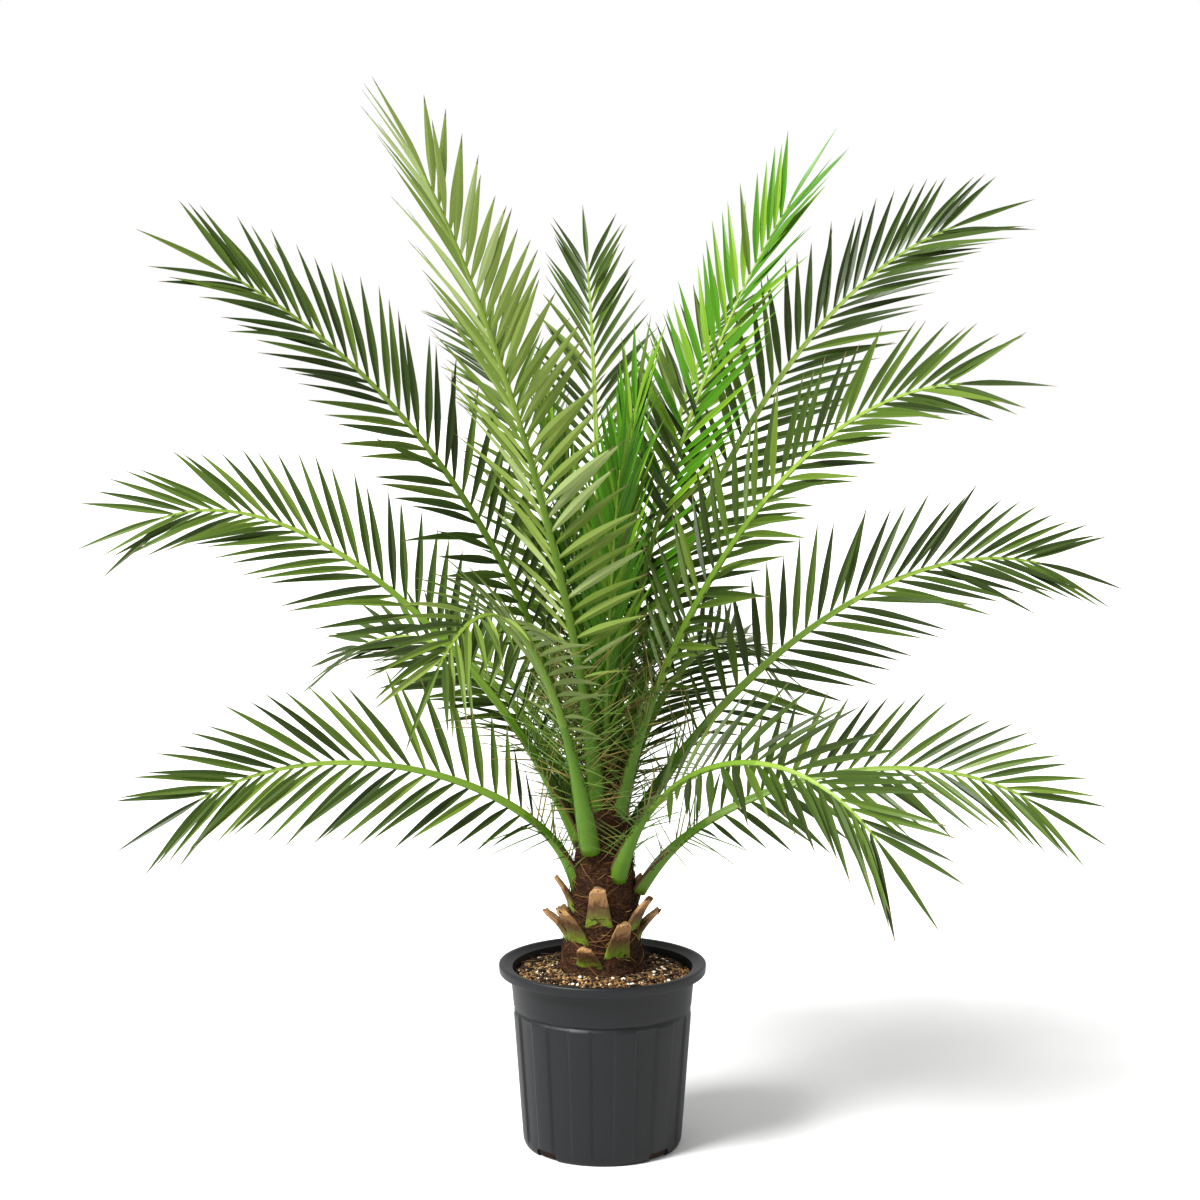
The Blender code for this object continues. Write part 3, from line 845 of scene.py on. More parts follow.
@dataclass
class Trunk:
    """The short trunk: a relief of matted fibre with loose strands lying over it.

    profile_mm holds heights with radii, lean is how far the axis moves for each metre up, and mat_noise
    holds the roughness, the step and the octaves of the fractal that makes the mat. The strands'
    heights, spans, radii and how far they stand off are in mm, and a slope is a share of the span.
    """

    profile_mm: tuple[tuple[int, int], ...] = (
        (260, 66), (275, 60), (300, 55), (340, 51), (390, 47),
        (440, 41), (490, 34), (540, 25), (580, 16), (604, 7))
    lean: tuple[float, float] = (0.010, -0.004)
    columns: int = 190
    rows: int = 170
    outline_sides: int = 24
    start_lift: float = 0.3 * MM
    least_radius: float = 2 * MM
    mat_sink: float = 1.6 * MM
    mat_size: float = 9 * MM
    mat_squeeze: float = 1.6
    mat_relief: float = 1.9 * MM
    mat_noise: tuple[float, float, int] = (0.7, 2.1, 4)
    weave_count: int = 21
    weave_pitch: float = 4.2 * MM
    weave_relief: float = 0.7 * MM
    strand_count: int = 950
    strand_heights: tuple[float, float] = (268, 585)
    strand_spans: tuple[float, float] = (12, 46)
    strand_slopes: tuple[float, float] = (-1.1, 1.1)
    strand_stand: tuple[float, float] = (0.4, 3.4)
    strand_wobble: tuple[float, float] = (0.7, 1.3)
    strand_radii: tuple[float, float] = (0.22, 0.62)
    strand_taper: tuple[float, ...] = (0.4, 0.9, 1, 1, 1, 0.9, 0.4)
    strand_floor: float = 263 * MM
    strand_ceiling: float = 598 * MM
    straw_start: float = 400 * MM
    straw_fade: float = 110 * MM

    def radius(self, height: float) -> float:
        """The trunk's radius, read along the profile.

        Args:
            height: The height to read it at.

        Returns:
            The radius.
        """
        level = height / MM
        for (low, r_low), (high, r_high) in zip(self.profile_mm, self.profile_mm[1:]):
            if level <= high:
                return mix(r_low, r_high, min(max((level - low) / (high - low), 0), 1)) * MM
        return self.profile_mm[-1][1] * MM

    def axis(self, height: float) -> Vector:
        """How far the trunk's centre has moved by a height."""
        rise = height - self.profile_mm[0][0] * MM
        return Vector((self.lean[0] * rise, self.lean[1] * rise, 0))

    def outline(self) -> tuple[list, list]:
        """A plain skin of the trunk, which leaflets stop short of.

        Returns:
            Its vertices and faces.
        """
        levels = [height * MM for height, _ in self.profile_mm]
        vertices = [polar(self.radius(z), angle, z) + self.axis(z)
                    for z in levels for angle in round_angles(self.outline_sides)]
        return vertices, ring_faces(len(levels), self.outline_sides)

    def relief(self, angle: float, height: float) -> float:
        """How far the fibre mat stands off its own middle: lumps, with a diagonal weave over them.

        Args:
            angle: The bearing in radians.
            height: The height.

        Returns:
            The distance outward, less than 0 in a hollow.
        """
        spot = polar(self.radius(height), angle, height)
        spot.z *= self.mat_squeeze
        lumps = noise.fractal(spot / self.mat_size, *self.mat_noise)
        cross = angle * self.weave_count
        climb = height / self.weave_pitch
        weave = math.sin(cross + climb) * math.sin(cross - climb)
        return lumps * self.mat_relief + weave * self.weave_relief

    def build(self) -> None:
        """Build the relief and the strands."""
        low = self.profile_mm[0][0] * MM + self.start_lift
        high = self.profile_mm[-1][0] * MM
        vertices = []
        for row in range(self.rows):
            z = mix(low, high, row / (self.rows - 1))
            for angle in round_angles(self.columns):
                radius = self.radius(z) - self.mat_sink + self.relief(angle, z)
                vertices.append(polar(max(radius, self.least_radius), angle, z) + self.axis(z))
        skin = Skin()
        skin.add(vertices, ring_faces(self.rows, self.columns), SHEATH_MAT)
        skin.build("trunk_fibre_mat", "trunk", ["trunk"])
        self._build_strands()

    def _build_strands(self) -> None:
        """Loose fibres that cross the trunk, straw-coloured where the petioles leave it."""
        dice = random.Random(SEED + 2)
        skin = Skin()
        last = len(self.strand_taper) - 1
        for _ in range(self.strand_count):
            z = dice.uniform(*self.strand_heights) * MM
            angle = dice.uniform(0, math.tau)
            span = dice.uniform(*self.strand_spans) * MM
            slope = dice.uniform(*self.strand_slopes)
            stand = dice.uniform(*self.strand_stand) * MM
            path = []
            for step in range(last + 1):
                t = step / last
                level = min(max(z + span * slope * (t - 0.5), self.strand_floor), self.strand_ceiling)
                radius = self.radius(level)
                turn = angle + span * (t - 0.5) / radius
                out = stand * math.sin(math.pi * t) * dice.uniform(*self.strand_wobble)
                path.append(polar(radius + out, turn, level) + self.axis(level))
            high = smooth((z - self.straw_start) / self.straw_fade)
            weights = [mix(low, top, high) for low, top in zip(STRAND_SHARES_LOW, STRAND_SHARES_HIGH)]
            finish = dice.choices(STRANDS, weights)[0]
            thick = dice.uniform(*self.strand_radii) * MM
            skin.add(*tube(path, [thick * share for share in self.strand_taper]), finish)
        skin.build("trunk_fibre_strands", "trunk", [])


@dataclass(frozen=True)
class Stub:
    """A cut leaf base: bearing in degrees, foot height and length in mm, and outward lean."""

    bearing: float
    height: float
    length: float
    lean: float = 30.0


STUBS = (
    Stub(190, 345, 48), Stub(226, 303, 54, 38), Stub(176, 300, 44, 45), Stub(264, 328, 56, 22),
    Stub(293, 284, 54, 30), Stub(330, 316, 52, 34), Stub(2, 300, 46, 42), Stub(250, 272, 30, 40),
    Stub(38, 330, 52, 32), Stub(78, 290, 50, 36), Stub(118, 335, 52, 28), Stub(138, 288, 48, 38),
)


@dataclass
class LeafBases:
    """The boots of old fronds: green and clasping at the foot, brown above, cut to a tan end.

    A pair of numbers runs from the foot to the cut. The back's and the face's depths are shares of the
    thickness.
    """

    trunk: Trunk
    foot_width: float = 42 * MM
    tip_width: float = 23 * MM
    width_power: float = 0.8
    thickness: float = 16 * MM
    thinning: tuple[float, float] = (1.0, 0.65)
    swelling: tuple[float, float] = (1.1, 0.85)
    lean_shares: tuple[float, float] = (0.55, 0.90)
    sink: float = 6 * MM
    rows: int = 22
    half_sides: int = 9
    back_depth: float = 0.62
    back_power: float = 0.8
    back_ribs: int = 9
    back_rib_relief: float = 0.05
    face_depth: float = 0.16
    lump_size: float = 5 * MM
    lump_relief: float = 0.7 * MM
    cut_wave: float = 2.2 * MM
    cut_waves: int = 5
    cut_rag_mm: float = 1.2
    cut_crown: float = 5 * MM

    def build(self) -> None:
        """Build every leaf base in its own piece."""
        for number, stub in enumerate(STUBS, start=1):
            self._build_one(number, stub)

    def section(self, phase: float) -> list[tuple[float, float]]:
        """A cross-section with a rounded, ribbed back, thin margins and a nearly flat face.

        Args:
            phase: Where the ribs start, in radians.

        Returns:
            Points as shares of the half width and of the thickness.
        """
        ring = []
        for k in range(self.half_sides):
            turn = math.pi * k / (self.half_sides - 1)
            rib = 1 + self.back_rib_relief * math.sin(self.back_ribs * turn + phase)
            ring.append((math.cos(turn), math.sin(turn) ** self.back_power * self.back_depth * rib))
        for k in range(1, self.half_sides - 1):
            turn = math.pi * k / (self.half_sides - 1)
            ring.append((-math.cos(turn), -math.sin(turn) * self.face_depth))
        return ring

    def _build_one(self, number: int, stub: Stub) -> None:
        """Build one leaf base, up to its ragged oblique cut.

        Args:
            number: Its number, which names it and seeds its dice.
            stub: Its place and size.
        """
        dice = random.Random(SEED + 30 + number)
        out = polar(1.0, math.radians(stub.bearing), 0)
        side = Vector((-out.y, out.x, 0))
        root = out * (self.trunk.radius(stub.height * MM) - self.sink) + Vector((0, 0, stub.height * MM))
        total = stub.length * MM + self.sink
        phase = dice.uniform(0, math.tau)
        section = self.section(phase)
        vertices = []
        for row in range(self.rows):
            share = row / (self.rows - 1)
            lean = math.radians(stub.lean) * mix(*self.lean_shares, share)
            along = out * math.sin(lean) + Vector((0, 0, math.cos(lean)))
            face = side.cross(along)
            width = mix(self.foot_width, self.tip_width, share ** self.width_power) / 2
            thick = self.thickness * mix(*self.thinning, share) * mix(*self.swelling, share)
            centre = root + along * total * share
            for x, y in section:
                point = centre + side * x * width - face * y * thick
                if row == self.rows - 1:
                    rag = dice.uniform(-self.cut_rag_mm, self.cut_rag_mm) * MM
                    rag += self.cut_wave * math.sin(x * self.cut_waves + phase)
                    point += along * (rag + (1 - abs(x)) * self.cut_crown)
                else:
                    point += face * noise.noise(point / self.lump_size) * self.lump_relief
                vertices.append(point)
        skin = Skin()
        skin.add(vertices, ring_faces(self.rows, len(section)), LEAF_BASE)
        skin.slots[-1] = skin.slot_of(CUT_PITH)
        skin.build(f"dried_leaf_base_{number:02d}", "leaf_base", [f"leaf_base_{number:02d}"])


@dataclass(frozen=True)
class Frond:
    """One frond, as a profile curve in reach and height that is turned to its bearing.

    foot, knee, arch and tip are (reach, height) in mm: the ends of a cubic curve and its two handles.
    bearing is in degrees from +X towards +Y, swing is added to it by the tip, and turn rolls the
    blade about its rib. bare is the petiole's share of the rib, leaf_length is in mm, closed narrows a
    young frond's leaflets, stout scales its rib, and droop bends its leaflets down.
    """

    name: str
    bearing: float
    foot: tuple[float, float]
    knee: tuple[float, float]
    arch: tuple[float, float]
    tip: tuple[float, float]
    swing: float = 0.0
    turn: float = 0.0
    bare: float = 0.26
    leaf_length: float = 175.0
    tone: Tone = Tone.GREEN
    closed: float = 1.0
    stout: float = 1.0
    droop: float = 0.06


FRONDS = (
    Frond("left_upper", 212, (25, 440), (60, 740), (250, 1090), (550, 1250), -5, -70, 0.30, 165),
    Frond("front_tall", 248, (15, 460), (40, 720), (330, 1200), (481, 1365), -5, -15, 0.26, 190, Tone.PALE),
    Frond("left_middle", 175, (30, 440), (110, 640), (400, 990), (630, 910), 4, -70, 0.26, 160),
    Frond("left_low", 192, (32, 370), (60, 530), (380, 640), (572, 528), 0, -70, 0.22, 165),
    Frond("right_inner", 32, (12, 460), (20, 760), (150, 1130), (304, 1360), -6, 20, 0.28, 165, Tone.YOUNG,
          stout=0.75, droop=0.0),
    Frond("right_upper", 20, (18, 450), (50, 780), (260, 1230), (537, 1328), -4, 60, 0.30, 165, Tone.SHADED),
    Frond("right_front", 327, (16, 440), (60, 690), (280, 1100), (548, 1107), 1, 65, 0.28, 160),
    Frond("right_middle", 8, (35, 450), (130, 630), (400, 900), (640, 840), -2, 70, 0.26, 160, Tone.SHADED),
    Frond("front_arching", 248, (46, 438), (120, 660), (335, 930), (556, 768), 1, -30, 0.30, 150, Tone.FRESH,
          droop=0.14),
    Frond("right_low", 348, (51, 375), (130, 520), (420, 630), (608, 528), 0, 65, 0.22, 150, Tone.GREEN),
    Frond("right_low_front", 303, (38, 396), (108, 575), (370, 690), (519, 523), 10, 45, 0.24, 165,
          Tone.SHADED),
    Frond("back_centre", 92, (10, 460), (30, 760), (200, 1100), (341, 1283), 2, 0, 0.28, 150),
    Frond("back_left", 146, (29, 450), (120, 650), (320, 790), (480, 675), 0, -35, 0.26, 140, Tone.SHADED),
    Frond("back_right", 46, (29, 450), (80, 650), (260, 790), (408, 655), 6, 35, 0.26, 140, Tone.SHADED),
    Frond("heart_right", 50, (8, 520), (16, 700), (30, 900), (78, 1080), 0, 10, 0.20, 150, Tone.YOUNG,
          closed=0.5, stout=0.55, droop=0.0),
    Frond("heart_left", 150, (10, 520), (24, 690), (40, 860), (86, 1010), 0, -10, 0.20, 150, Tone.YOUNG,
          closed=0.5, stout=0.55, droop=0.0),
    Frond("heart_front", 285, (12, 520), (22, 680), (40, 830), (92, 985), 0, 0, 0.20, 140, Tone.YOUNG,
          closed=0.5, stout=0.55, droop=0.0),
    Frond("rear_left_upper", 118, (14, 460), (50, 740), (240, 1080), (430, 1180), 0, -20, 0.28, 150),
    Frond("rear_right_upper", 66, (14, 460), (50, 740), (260, 1090), (470, 1200), 0, 20, 0.28, 150),
    Frond("rear_middle", 101, (30, 436), (110, 640), (380, 930), (600, 850), 0, 10, 0.26, 155),
    Frond("rear_right_low", 70, (34, 410), (90, 600), (360, 760), (560, 660), 0, 15, 0.24, 150),
    Frond("rear_left_low", 124, (34, 410), (90, 600), (350, 750), (540, 650), 0, -15, 0.24, 150),
    Frond("rear_low", 96, (44, 385), (100, 550), (320, 660), (470, 570), 0, 0, 0.24, 140),
)


@dataclass(frozen=True)
class Station:
    """A point on a rib with its tangent, its sideways direction and the blade's upper direction."""

    point: Vector
    along: Vector
    side: Vector
    up: Vector

    def aim(self, way: int, angle: float, lift: float) -> Vector:
        """Where a growth on one side points, by its radians away from the rib and above the blade."""
        outward = self.side * way * math.cos(lift) + self.up * math.sin(lift)
        return (self.along * math.cos(angle) + outward * math.sin(angle)).normalized()


class Route:
    """A frond's rib, read by its share of the length from foot to tip."""

    samples: int = 80
    turn_lag: float = 0.15

    def __init__(self, frond: Frond) -> None:
        """Measure the rib's curve once.

        Args:
            frond: The frond's sizes.
        """
        self.frond = frond
        points = [self._place(k / self.samples)[0] for k in range(self.samples + 1)]
        self.distance = [0.0]
        for before, after in zip(points, points[1:]):
            self.distance.append(self.distance[-1] + (after - before).length)
        self.length = self.distance[-1]

    def _place(self, t: float) -> tuple[Vector, float]:
        """A point of the curve.

        Args:
            t: The curve's parameter.

        Returns:
            The point and the local bearing in radians.
        """
        frond = self.frond
        handles = (frond.foot, frond.knee, frond.arch, frond.tip)
        s = 1 - t
        shares = (s ** 3, 3 * s * s * t, 3 * s * t * t, t ** 3)
        reach = sum(share * point[0] for share, point in zip(shares, handles)) * MM
        height = sum(share * point[1] for share, point in zip(shares, handles)) * MM
        bearing = math.radians(frond.bearing + frond.swing * reach / (frond.tip[0] * MM))
        return polar(reach, bearing, height), bearing

    def _parameter(self, share: float) -> float:
        """Turn a share of the length into the curve's parameter.

        Args:
            share: The share of the length from the foot.

        Returns:
            The parameter.
        """
        target = share * self.length
        for k in range(self.samples):
            if self.distance[k + 1] >= target:
                step = self.distance[k + 1] - self.distance[k]
                return (k + (target - self.distance[k]) / step) / self.samples
        return 1.0

    def station(self, share: float) -> Station:
        """The place and directions on the rib, which rolls to its turn where the blade starts.

        Args:
            share: The share of the length from the foot.

        Returns:
            The station.
        """
        t = self._parameter(share)
        point, bearing = self._place(t)
        step = 0.5 / self.samples
        along = (self._place(min(t + step, 1.0))[0] - self._place(max(t - step, 0.0))[0]).normalized()
        side = Vector((math.sin(bearing), -math.cos(bearing), 0))
        side = (side - along * side.dot(along)).normalized()
        up = side.cross(along)
        turn = math.radians(self.frond.turn) * smooth(share / (self.frond.bare + self.turn_lag))
        rolled = side * math.cos(turn) - up * math.sin(turn)
        return Station(point, along, rolled, rolled.cross(along))


@dataclass
class Rib:
    """A petiole and rib: channelled above, keeled below, and paler towards the tip.

    channel holds the upper side's points, and keel_top is the keel's centre, in shares of the width.
    margin_faces are the faces round the section that lie at its two edges.
    """

    foot_width: float = 29 * MM
    neck_width: float = 12.5 * MM
    tip_width: float = 3.2 * MM
    rows: int = 64
    outline_rows: int = 24
    channel: tuple[tuple[float, float], ...] = (
        (-0.5, 0.20), (-0.25, 0.13), (0.0, 0.10), (0.25, 0.13), (0.5, 0.20))
    keel_top: float = 0.05
    keel_steps: int = 6
    foot_share: float = 0.06
    yellow_share: float = 0.62
    margin_share: float = 0.11
    margin_faces: tuple[int, int] = (4, 11)

    def width(self, frond: Frond, share: float) -> float:
        """The rib's width, which shrinks quickly along the petiole and slowly after it.

        Args:
            frond: The frond's sizes.
            share: The share of the length from the foot.

        Returns:
            The width.
        """
        if share < frond.bare:
            width = mix(self.foot_width, self.neck_width, smooth(share / frond.bare))
        else:
            width = mix(self.neck_width, self.tip_width, (share - frond.bare) / (1 - frond.bare))
        return width * frond.stout

    def section(self, width: float) -> list[tuple[float, float]]:
        """A rib's outline: a shallow channel above and a rounded keel below.

        Args:
            width: The rib's width.

        Returns:
            Points sideways and up from its centre.
        """
        turns = [math.pi * k / self.keel_steps for k in range(self.keel_steps + 1)]
        keel = [(0.5 * math.cos(turn), self.keel_top - 0.5 * math.sin(turn)) for turn in turns]
        return [(x * width, y * width) for x, y in list(self.channel[::-1]) + keel[::-1]]

    def geometry(self, frond: Frond, route: Route, rows: int) -> tuple[list, list, int]:
        """A rib's skin.

        Args:
            frond: The frond's sizes.
            route: Its measured curve.
            rows: How many steps it has along its length.

        Returns:
            Its vertices, its faces and the number of points round it.
        """
        vertices = []
        sides = 0
        for row in range(rows + 1):
            share = row / rows
            station = route.station(share)
            section = self.section(self.width(frond, share))
            sides = len(section)
            vertices.extend(station.point + station.side * x + station.up * y for x, y in section)
        return vertices, ring_faces(rows + 1, sides), sides

    def build(self, frond: Frond, route: Route, slot: str, nodes: Sequence[str]) -> None:
        """Build a rib whose green pales towards the tip, with dry margins at its foot.

        Args:
            frond: The frond's sizes.
            route: Its measured curve.
            slot: The record's material slot.
            nodes: The CAD nodes that the frond stands for.
        """
        vertices, faces, sides = self.geometry(frond, route, self.rows)
        skin = Skin()
        skin.add(vertices, faces, RIB_TONES[0])
        tones = [skin.slot_of(tone) for tone in RIB_TONES]
        margin = skin.slot_of(PETIOLE_EDGE)
        for index in range(self.rows * sides):
            share = (index // sides) / self.rows
            passed = sum(share >= end for end in (self.foot_share, frond.bare, self.yellow_share))
            skin.slots[index] = tones[passed]
            if share < self.margin_share and index % sides in self.margin_faces:
                skin.slots[index] = margin
        skin.build(f"rib_{frond.name}", slot, nodes)


@dataclass(frozen=True)
class Leaflet:
    """Where one leaflet starts and how it grows.

    direction is the way it points at first. reference is a direction in the frond's own plane that its
    width follows, signed so that its cross product with direction is the blade's upper side. way is
    its side of the rib, -1 or 1.
    """

    root: Vector
    direction: Vector
    reference: Vector
    length: float
    width: float
    way: int


@dataclass
class Leaflets:
    """A frond's folded leaflets, in pairs that lean further forward towards its tip.

    Places and shares run from 0 to 1, and angles are in degrees, except for the twist, in radians. A
    pair of numbers is a range that the dice draw from, and fold runs from a leaflet's root to its tip.
    The young sizes are those of the first rows, which are short, narrow and unruly by the petiole. A
    leaflet looks for a rib or the trunk from sight_start on, and ends a clearance short of it.
    """

    rib: Rib
    spacing: float = 20.5 * MM
    first_share: float = 0.88
    last_place: float = 0.985
    crowding: float = 0.10
    young_rows: float = 6.0
    young_start: float = 1.5
    young_length: float = 0.72
    young_width: float = 0.34
    young_lift: tuple[float, float] = (-30, 35)
    stagger: float = 0.002
    farthest: float = 0.99
    angle_foot: float = 62.0
    angle_tip: float = 22.0
    angle_spread: float = 2.6
    lift: float = 14.0
    lift_spread: float = 6.5
    foot_loss: float = 0.28
    tip_loss: float = 0.15
    longest_place: float = 0.4
    length_range: tuple[float, float] = (0.93, 1.02)
    width_share: float = 0.088
    tip_width: float = 0.8
    root_share: float = 0.34
    end_place: float = 0.992
    end_width: float = 0.06
    sections: int = 11
    section_power: float = 0.9
    root_half: float = 0.28
    widest: float = 0.36
    point_power: float = 1.3
    least_half: float = 0.015
    fold: tuple[float, float] = (33.75, 17.55)
    thickness: float = 0.6 * MM
    tip_thinning: float = 0.75
    edge_thickness: float = 0.4
    droop_range: tuple[float, float] = (0.4, 1.5)
    twist: float = 0.12
    twist_spread: float = 0.22
    sight_start: float = 9 * MM
    clearance: float = 3 * MM
    least_room: float = 0.45

    def size(self, frond: Frond, place: float) -> float:
        """Leaflet length, longest before the middle of the blade.

        Args:
            frond: The frond's sizes.
            place: The leaflet's place on the blade.

        Returns:
            The length.
        """
        if place < self.longest_place:
            loss = self.foot_loss * (1 - place / self.longest_place) ** 2
        else:
            loss = self.tip_loss * ((place - self.longest_place) / (1 - self.longest_place)) ** 2
        return frond.leaf_length * MM * (1 - loss)

    def half_width(self, t: float) -> float:
        """A leaflet's half width along its length.

        Args:
            t: The share of its length from the root.

        Returns:
            The half width as a share of its greatest.
        """
        if t < self.widest:
            return mix(self.root_half, 1.0, math.sin(math.pi / 2 * t / self.widest))
        return max(1 - ((t - self.widest) / (1 - self.widest)) ** self.point_power, self.least_half)

    def blade(self, leaflet: Leaflet, length: float, droop: float, twist: float) -> tuple[list, list]:
        """One folded leaflet: a closed blade whose halves rise from its midrib.

        Args:
            leaflet: Where it starts and how it grows.
            length: The length it has room for.
            droop: How far its tip bends down, as a share of its length.
            twist: How far it turns about itself by the tip, in radians.

        Returns:
            Its vertices and faces.
        """
        direction = leaflet.direction
        across = (leaflet.reference - direction * leaflet.reference.dot(direction)).normalized()
        through = across.cross(direction)
        vertices = []
        last = self.sections - 1
        for section in range(self.sections):
            t = (section / last) ** self.section_power
            centre = leaflet.root + direction * length * t + Vector((0, 0, -droop * length * t * t))
            turn = twist * t
            side = across * math.cos(turn) + through * math.sin(turn)
            top = through * math.cos(turn) - across * math.sin(turn)
            fold = math.radians(mix(*self.fold, t))
            half = leaflet.width / 2 * self.half_width(t)
            rise = top * half * math.sin(fold)
            edge = side * half * math.cos(fold)
            thick = top * self.thickness * (1 - self.tip_thinning * t)
            thin = thick * self.edge_thickness
            vertices += [centre + edge + rise, centre, centre - edge + rise]
            vertices += [centre - edge + rise - thin, centre - thick, centre + edge + rise - thin]
        return vertices, ring_faces(self.sections, BLADE_POINTS)

    def grow(self, frond: Frond, route: Route, dice: random.Random) -> Iterator[Leaflet]:
        """Deal the leaflets row by row from the petiole, and then the one at the tip.

        Args:
            frond: The frond's sizes.
            route: Its measured curve.
            dice: Its random numbers.

        Yields:
            Each leaflet.
        """
        first = frond.bare * self.first_share
        span = self.last_place - first
        rows = round(span * route.length / self.spacing)
        for row in range(rows):
            crowd = 1 - self.crowding * (row / rows)
            share = first + span * ((row + 0.5) / rows) ** crowd
            place = max((share - frond.bare) / (1 - frond.bare), 0.0)
            grown = smooth((row + self.young_start) / self.young_rows)
            for way in (-1, 1):
                station = route.station(min(share + way * self.stagger, self.farthest))
                angle = mix(self.angle_foot, self.angle_tip, place) * frond.closed
                angle += dice.gauss(0, self.angle_spread)
                lift = self.lift + dice.gauss(0, self.lift_spread)
                lift += (1 - grown) * dice.uniform(*self.young_lift)
                direction = station.aim(way, math.radians(angle), math.radians(lift))
                length = self.size(frond, place) * dice.uniform(*self.length_range)
                length *= mix(self.young_length, 1.0, grown)
                width = frond.leaf_length * MM * self.width_share * mix(self.young_width, 1.0, grown)
                width *= mix(1.0, self.tip_width, place)
                root = station.point + station.side * way * self.rib.width(frond, share) * self.root_share
                yield Leaflet(root, direction, station.along * -way, length, width, way)
        end = route.station(self.end_place)
        yield Leaflet(end.point, end.along, end.side, self.size(frond, 1.0),
                      frond.leaf_length * MM * self.end_width, 1)

    def room(self, leaflet: Leaflet, tree: BVHTree) -> float:
        """How long a leaflet may grow before it meets another frond's rib or the trunk.

        Args:
            leaflet: The leaflet.
            tree: What it stops short of.

        Returns:
            The length.
        """
        start = leaflet.root + leaflet.direction * self.sight_start
        hit = tree.ray_cast(start, leaflet.direction, leaflet.length)[3]
        return leaflet.length if hit is None else hit + self.sight_start - self.clearance

    def build(self, frond: Frond, route: Route, tree: BVHTree, dice: random.Random, slot: str,
              nodes: Sequence[str]) -> None:
        """Build a frond's leaflets in its greens, and leave out those with little room.

        Args:
            frond: The frond's sizes.
            route: Its measured curve.
            tree: The other ribs and the trunk, which leaflets stop short of.
            dice: The frond's random numbers.
            slot: The record's material slot.
            nodes: The CAD nodes that the frond stands for.
        """
        colours, weights = zip(*frond.tone.value)
        skin = Skin()
        for leaflet in self.grow(frond, route, dice):
            room = self.room(leaflet, tree)
            droop = frond.droop * dice.uniform(*self.droop_range)
            twist = leaflet.way * dice.gauss(self.twist, self.twist_spread)
            finish = dice.choices(colours, weights)[0].value
            if room < self.least_room * leaflet.length:
                continue
            start = len(skin.faces)
            skin.add(*self.blade(leaflet, min(room, leaflet.length), droop, twist), finish)
            skin.dress_blade(start, self.sections, frond.tone)
        skin.build(f"leaflets_{frond.name}", slot, nodes, shade_smooth=False)


@dataclass
class Spines:
    """The stiff spines that line a petiole, short at its foot and long near the leaflets.

    A pair of numbers runs from the foot to the leaflets, or is a range that the dice draw from. Angles
    are in degrees and start and end are shares of the petiole.
    """

    rib: Rib
    start: float = 0.30
    end: float = 0.95
    spacing: float = 7 * MM
    angles: tuple[float, float] = (78, 52)
    angle_spread: float = 9.0
    closed_angle: float = 0.6
    lifts: tuple[float, float] = (-25, 60)
    lengths_mm: tuple[float, float] = (28, 150)
    length_power: float = 1.1
    length_range: tuple[float, float] = (0.7, 1.1)
    radii_mm: tuple[float, float] = (0.8, 1.25)
    root_share: float = 0.40
    sag: float = 0.05
    steps: tuple[float, ...] = (0.0, 0.35, 0.7, 1.0)
    taper: tuple[float, ...] = (1.0, 0.85, 0.5, 0.08)
    sides: int = 4
    green_share: float = 0.7

    def grow(self, frond: Frond, route: Route, dice: random.Random) -> Iterator[tuple[list, float]]:
        """Deal the spines, in pairs up the petiole.

        Args:
            frond: The frond's sizes.
            route: Its measured curve.
            dice: Its random numbers.

        Yields:
            Each spine's path and its radius at the rib.
        """
        share = self.start * frond.bare
        while share < frond.bare * self.end:
            place = share / frond.bare
            for way in (-1, 1):
                station = route.station(share)
                angle = mix(*self.angles, place) * mix(self.closed_angle, 1.0, frond.closed)
                angle += dice.gauss(0, self.angle_spread)
                lift = dice.uniform(*self.lifts)
                direction = station.aim(way, math.radians(angle), math.radians(lift))
                length = mix(*self.lengths_mm, place ** self.length_power) * MM
                length *= dice.uniform(*self.length_range)
                root = station.point + station.side * way * self.rib.width(frond, share) * self.root_share
                sag = Vector((0, 0, -self.sag * length))
                path = [root + direction * length * t + sag * t * t for t in self.steps]
                yield path, mix(*self.radii_mm, place) * MM
            share += self.spacing / route.length

    def build(self, frond: Frond, route: Route, dice: random.Random, slot: str) -> None:
        """Build a frond's spines, most of them green.

        Args:
            frond: The frond's sizes.
            route: Its measured curve.
            dice: The frond's random numbers.
            slot: The record's material slot.
        """
        skin = Skin()
        for path, thick in self.grow(frond, route, dice):
            finish = GREEN_SPINE if dice.random() < self.green_share else STRAW_SPINE
            skin.add(*tube(path, [thick * share for share in self.taper], self.sides), finish)
        skin.build(f"spines_{frond.name}", slot, [])


def nodes_of(frond: Frond) -> list[str]:
    """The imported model's nodes of a frond: one, or two where it is split at its bend."""
    names = [f"frond_{frond.name}{part}" for part in ("", "_lower", "_upper")]
    return [part["node"] for part in FRAME["record"]["subparts"] if part["node"] in names]


def surfaces_but(own: str, surfaces: dict[str, tuple]) -> BVHTree:
    """A search tree over every rib and the trunk, but for one frond's own rib.

    Args:
        own: The name of the frond left out.
        surfaces: Each surface's vertices and faces by name.

    Returns:
        The tree.
    """
    vertices: list = []
    faces: list = []
    for name, (points, polygons) in surfaces.items():
        if name == own:
            continue
        base = len(vertices)
        vertices.extend(points)
        faces.extend(tuple(base + corner for corner in polygon) for polygon in polygons)
    return BVHTree.FromPolygons(vertices, faces)


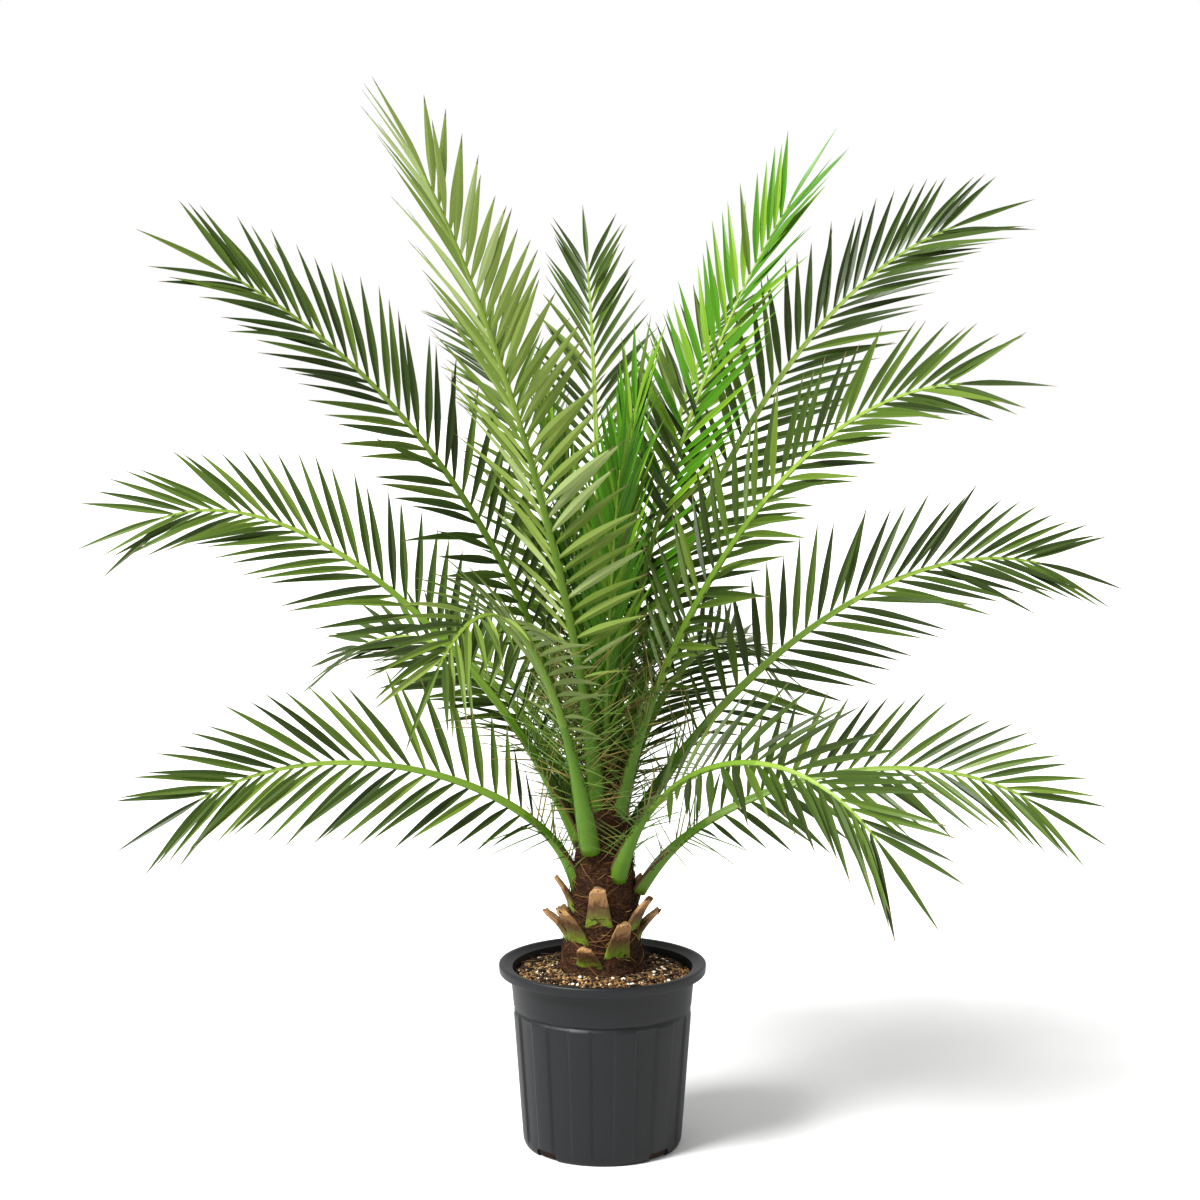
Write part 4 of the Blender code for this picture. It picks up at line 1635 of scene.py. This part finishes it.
@dataclass
class Crown:
    """All the fronds, with leaflets that stop short of the other fronds' ribs and of the trunk."""

    trunk: Trunk
    rib: Rib = field(default_factory=Rib)

    def build(self) -> None:
        """Build every frond as its rib, its leaflets and its spines."""
        leaflets = Leaflets(self.rib)
        spines = Spines(self.rib)
        routes = {frond.name: Route(frond) for frond in FRONDS}
        surfaces = {frond.name: self.rib.geometry(frond, routes[frond.name], self.rib.outline_rows)[:2]
                    for frond in FRONDS}
        surfaces["trunk"] = self.trunk.outline()
        for number, frond in enumerate(FRONDS):
            dice = random.Random(SEED * 100 + number)
            route = routes[frond.name]
            slot = "young_frond" if frond.tone is Tone.YOUNG else "frond"
            nodes = nodes_of(frond)
            self.rib.build(frond, route, slot, nodes)
            leaflets.build(frond, route, surfaces_but(frond.name, surfaces), dice, slot, nodes)
            spines.build(frond, route, dice, slot)


@dataclass
class Studio:
    """A pale sweep, soft light from the upper left and the camera at the photograph's angle."""

    camera_distance: float = 3.40
    camera_height: float = 1.17
    camera_pitch: float = 6.3
    camera_sight: float = 60.0
    sensor_mm: float = 36.0
    focal_pixels: float = 2400.0
    frame_pixels: float = 1200.0
    centre_offset_pixels: float = 2.5
    sweep_colour: str = "D8D8D8"
    sweep_roughness: float = 0.9
    sweep_half: float = 30.0
    sweep_drop: float = 0.4 * MM
    key_place: tuple[float, float, float] = (-2.6, -1.9, 3.6)
    key_strength: float = 6.4
    key_softness: float = 24.0
    surround_colour: str = "FFFFFF"
    surround_strength: float = 1.0
    print_gamma: float = 0.86

    def build(self) -> None:
        """Set up the camera, the sweep and the lights."""
        self._build_camera()
        self._build_sweep()
        self._build_lights()

    def _build_camera(self) -> None:
        """Place the camera in front of the plant, looking slightly down."""
        lens = bpy.data.cameras.new("camera")
        lens.sensor_width = self.sensor_mm
        lens.lens = lens.sensor_width * self.focal_pixels / self.frame_pixels
        lens.shift_x = -self.centre_offset_pixels / self.frame_pixels
        lens.clip_end = self.camera_sight
        camera = bpy.data.objects.new("camera", lens)
        camera.location = (0.0, -self.camera_distance, self.camera_height)
        camera.rotation_euler = (math.radians(90 - self.camera_pitch), 0.0, 0.0)
        bpy.context.scene.collection.objects.link(camera)
        bpy.context.scene.camera = camera

    def _build_sweep(self) -> None:
        """A wide floor, the same from every side."""
        finish = Finish("pale_floor", (self.sweep_colour,), self.sweep_roughness)
        half = self.sweep_half
        corners = [(-half, -half, 0), (half, -half, 0), (half, half, 0), (-half, half, 0)]
        mesh = bpy.data.meshes.new("floor")
        mesh.from_pydata(corners, [], [(0, 1, 2, 3)])
        mesh.materials.append(finish.material())
        floor = bpy.data.objects.new("floor", mesh)
        floor.location.z = -self.sweep_drop
        bpy.context.scene.collection.objects.link(floor)

    def _build_lights(self) -> None:
        """A soft distant key from the upper left, which lights the sweep evenly, and a white surround."""
        lamp = bpy.data.lights.new("key", "SUN")
        lamp.energy = self.key_strength
        lamp.angle = math.radians(self.key_softness)
        light = bpy.data.objects.new("key", lamp)
        light.location = self.key_place
        light.rotation_euler = (-light.location).to_track_quat("-Z", "Y").to_euler()
        bpy.context.scene.collection.objects.link(light)
        world = bpy.data.worlds.new("surround")
        world.use_nodes = True
        back = world.node_tree.nodes["Background"]
        back.inputs["Color"].default_value = linear(self.surround_colour)
        back.inputs["Strength"].default_value = self.surround_strength
        bpy.context.scene.world = world
        bpy.context.scene.view_settings.view_transform = "Standard"
        bpy.context.scene.view_settings.gamma = self.print_gamma


def main() -> None:
    """Build the palm from the pot up, then the studio."""
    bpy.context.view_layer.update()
    pot = Pot()
    pot.build()
    Soil(pot).build()
    trunk = Trunk()
    trunk.build()
    LeafBases(trunk).build()
    Crown(trunk).build()
    Studio().build()


if __name__ == "__main__":
    logging.basicConfig(level=logging.INFO, format="%(message)s")
    main()
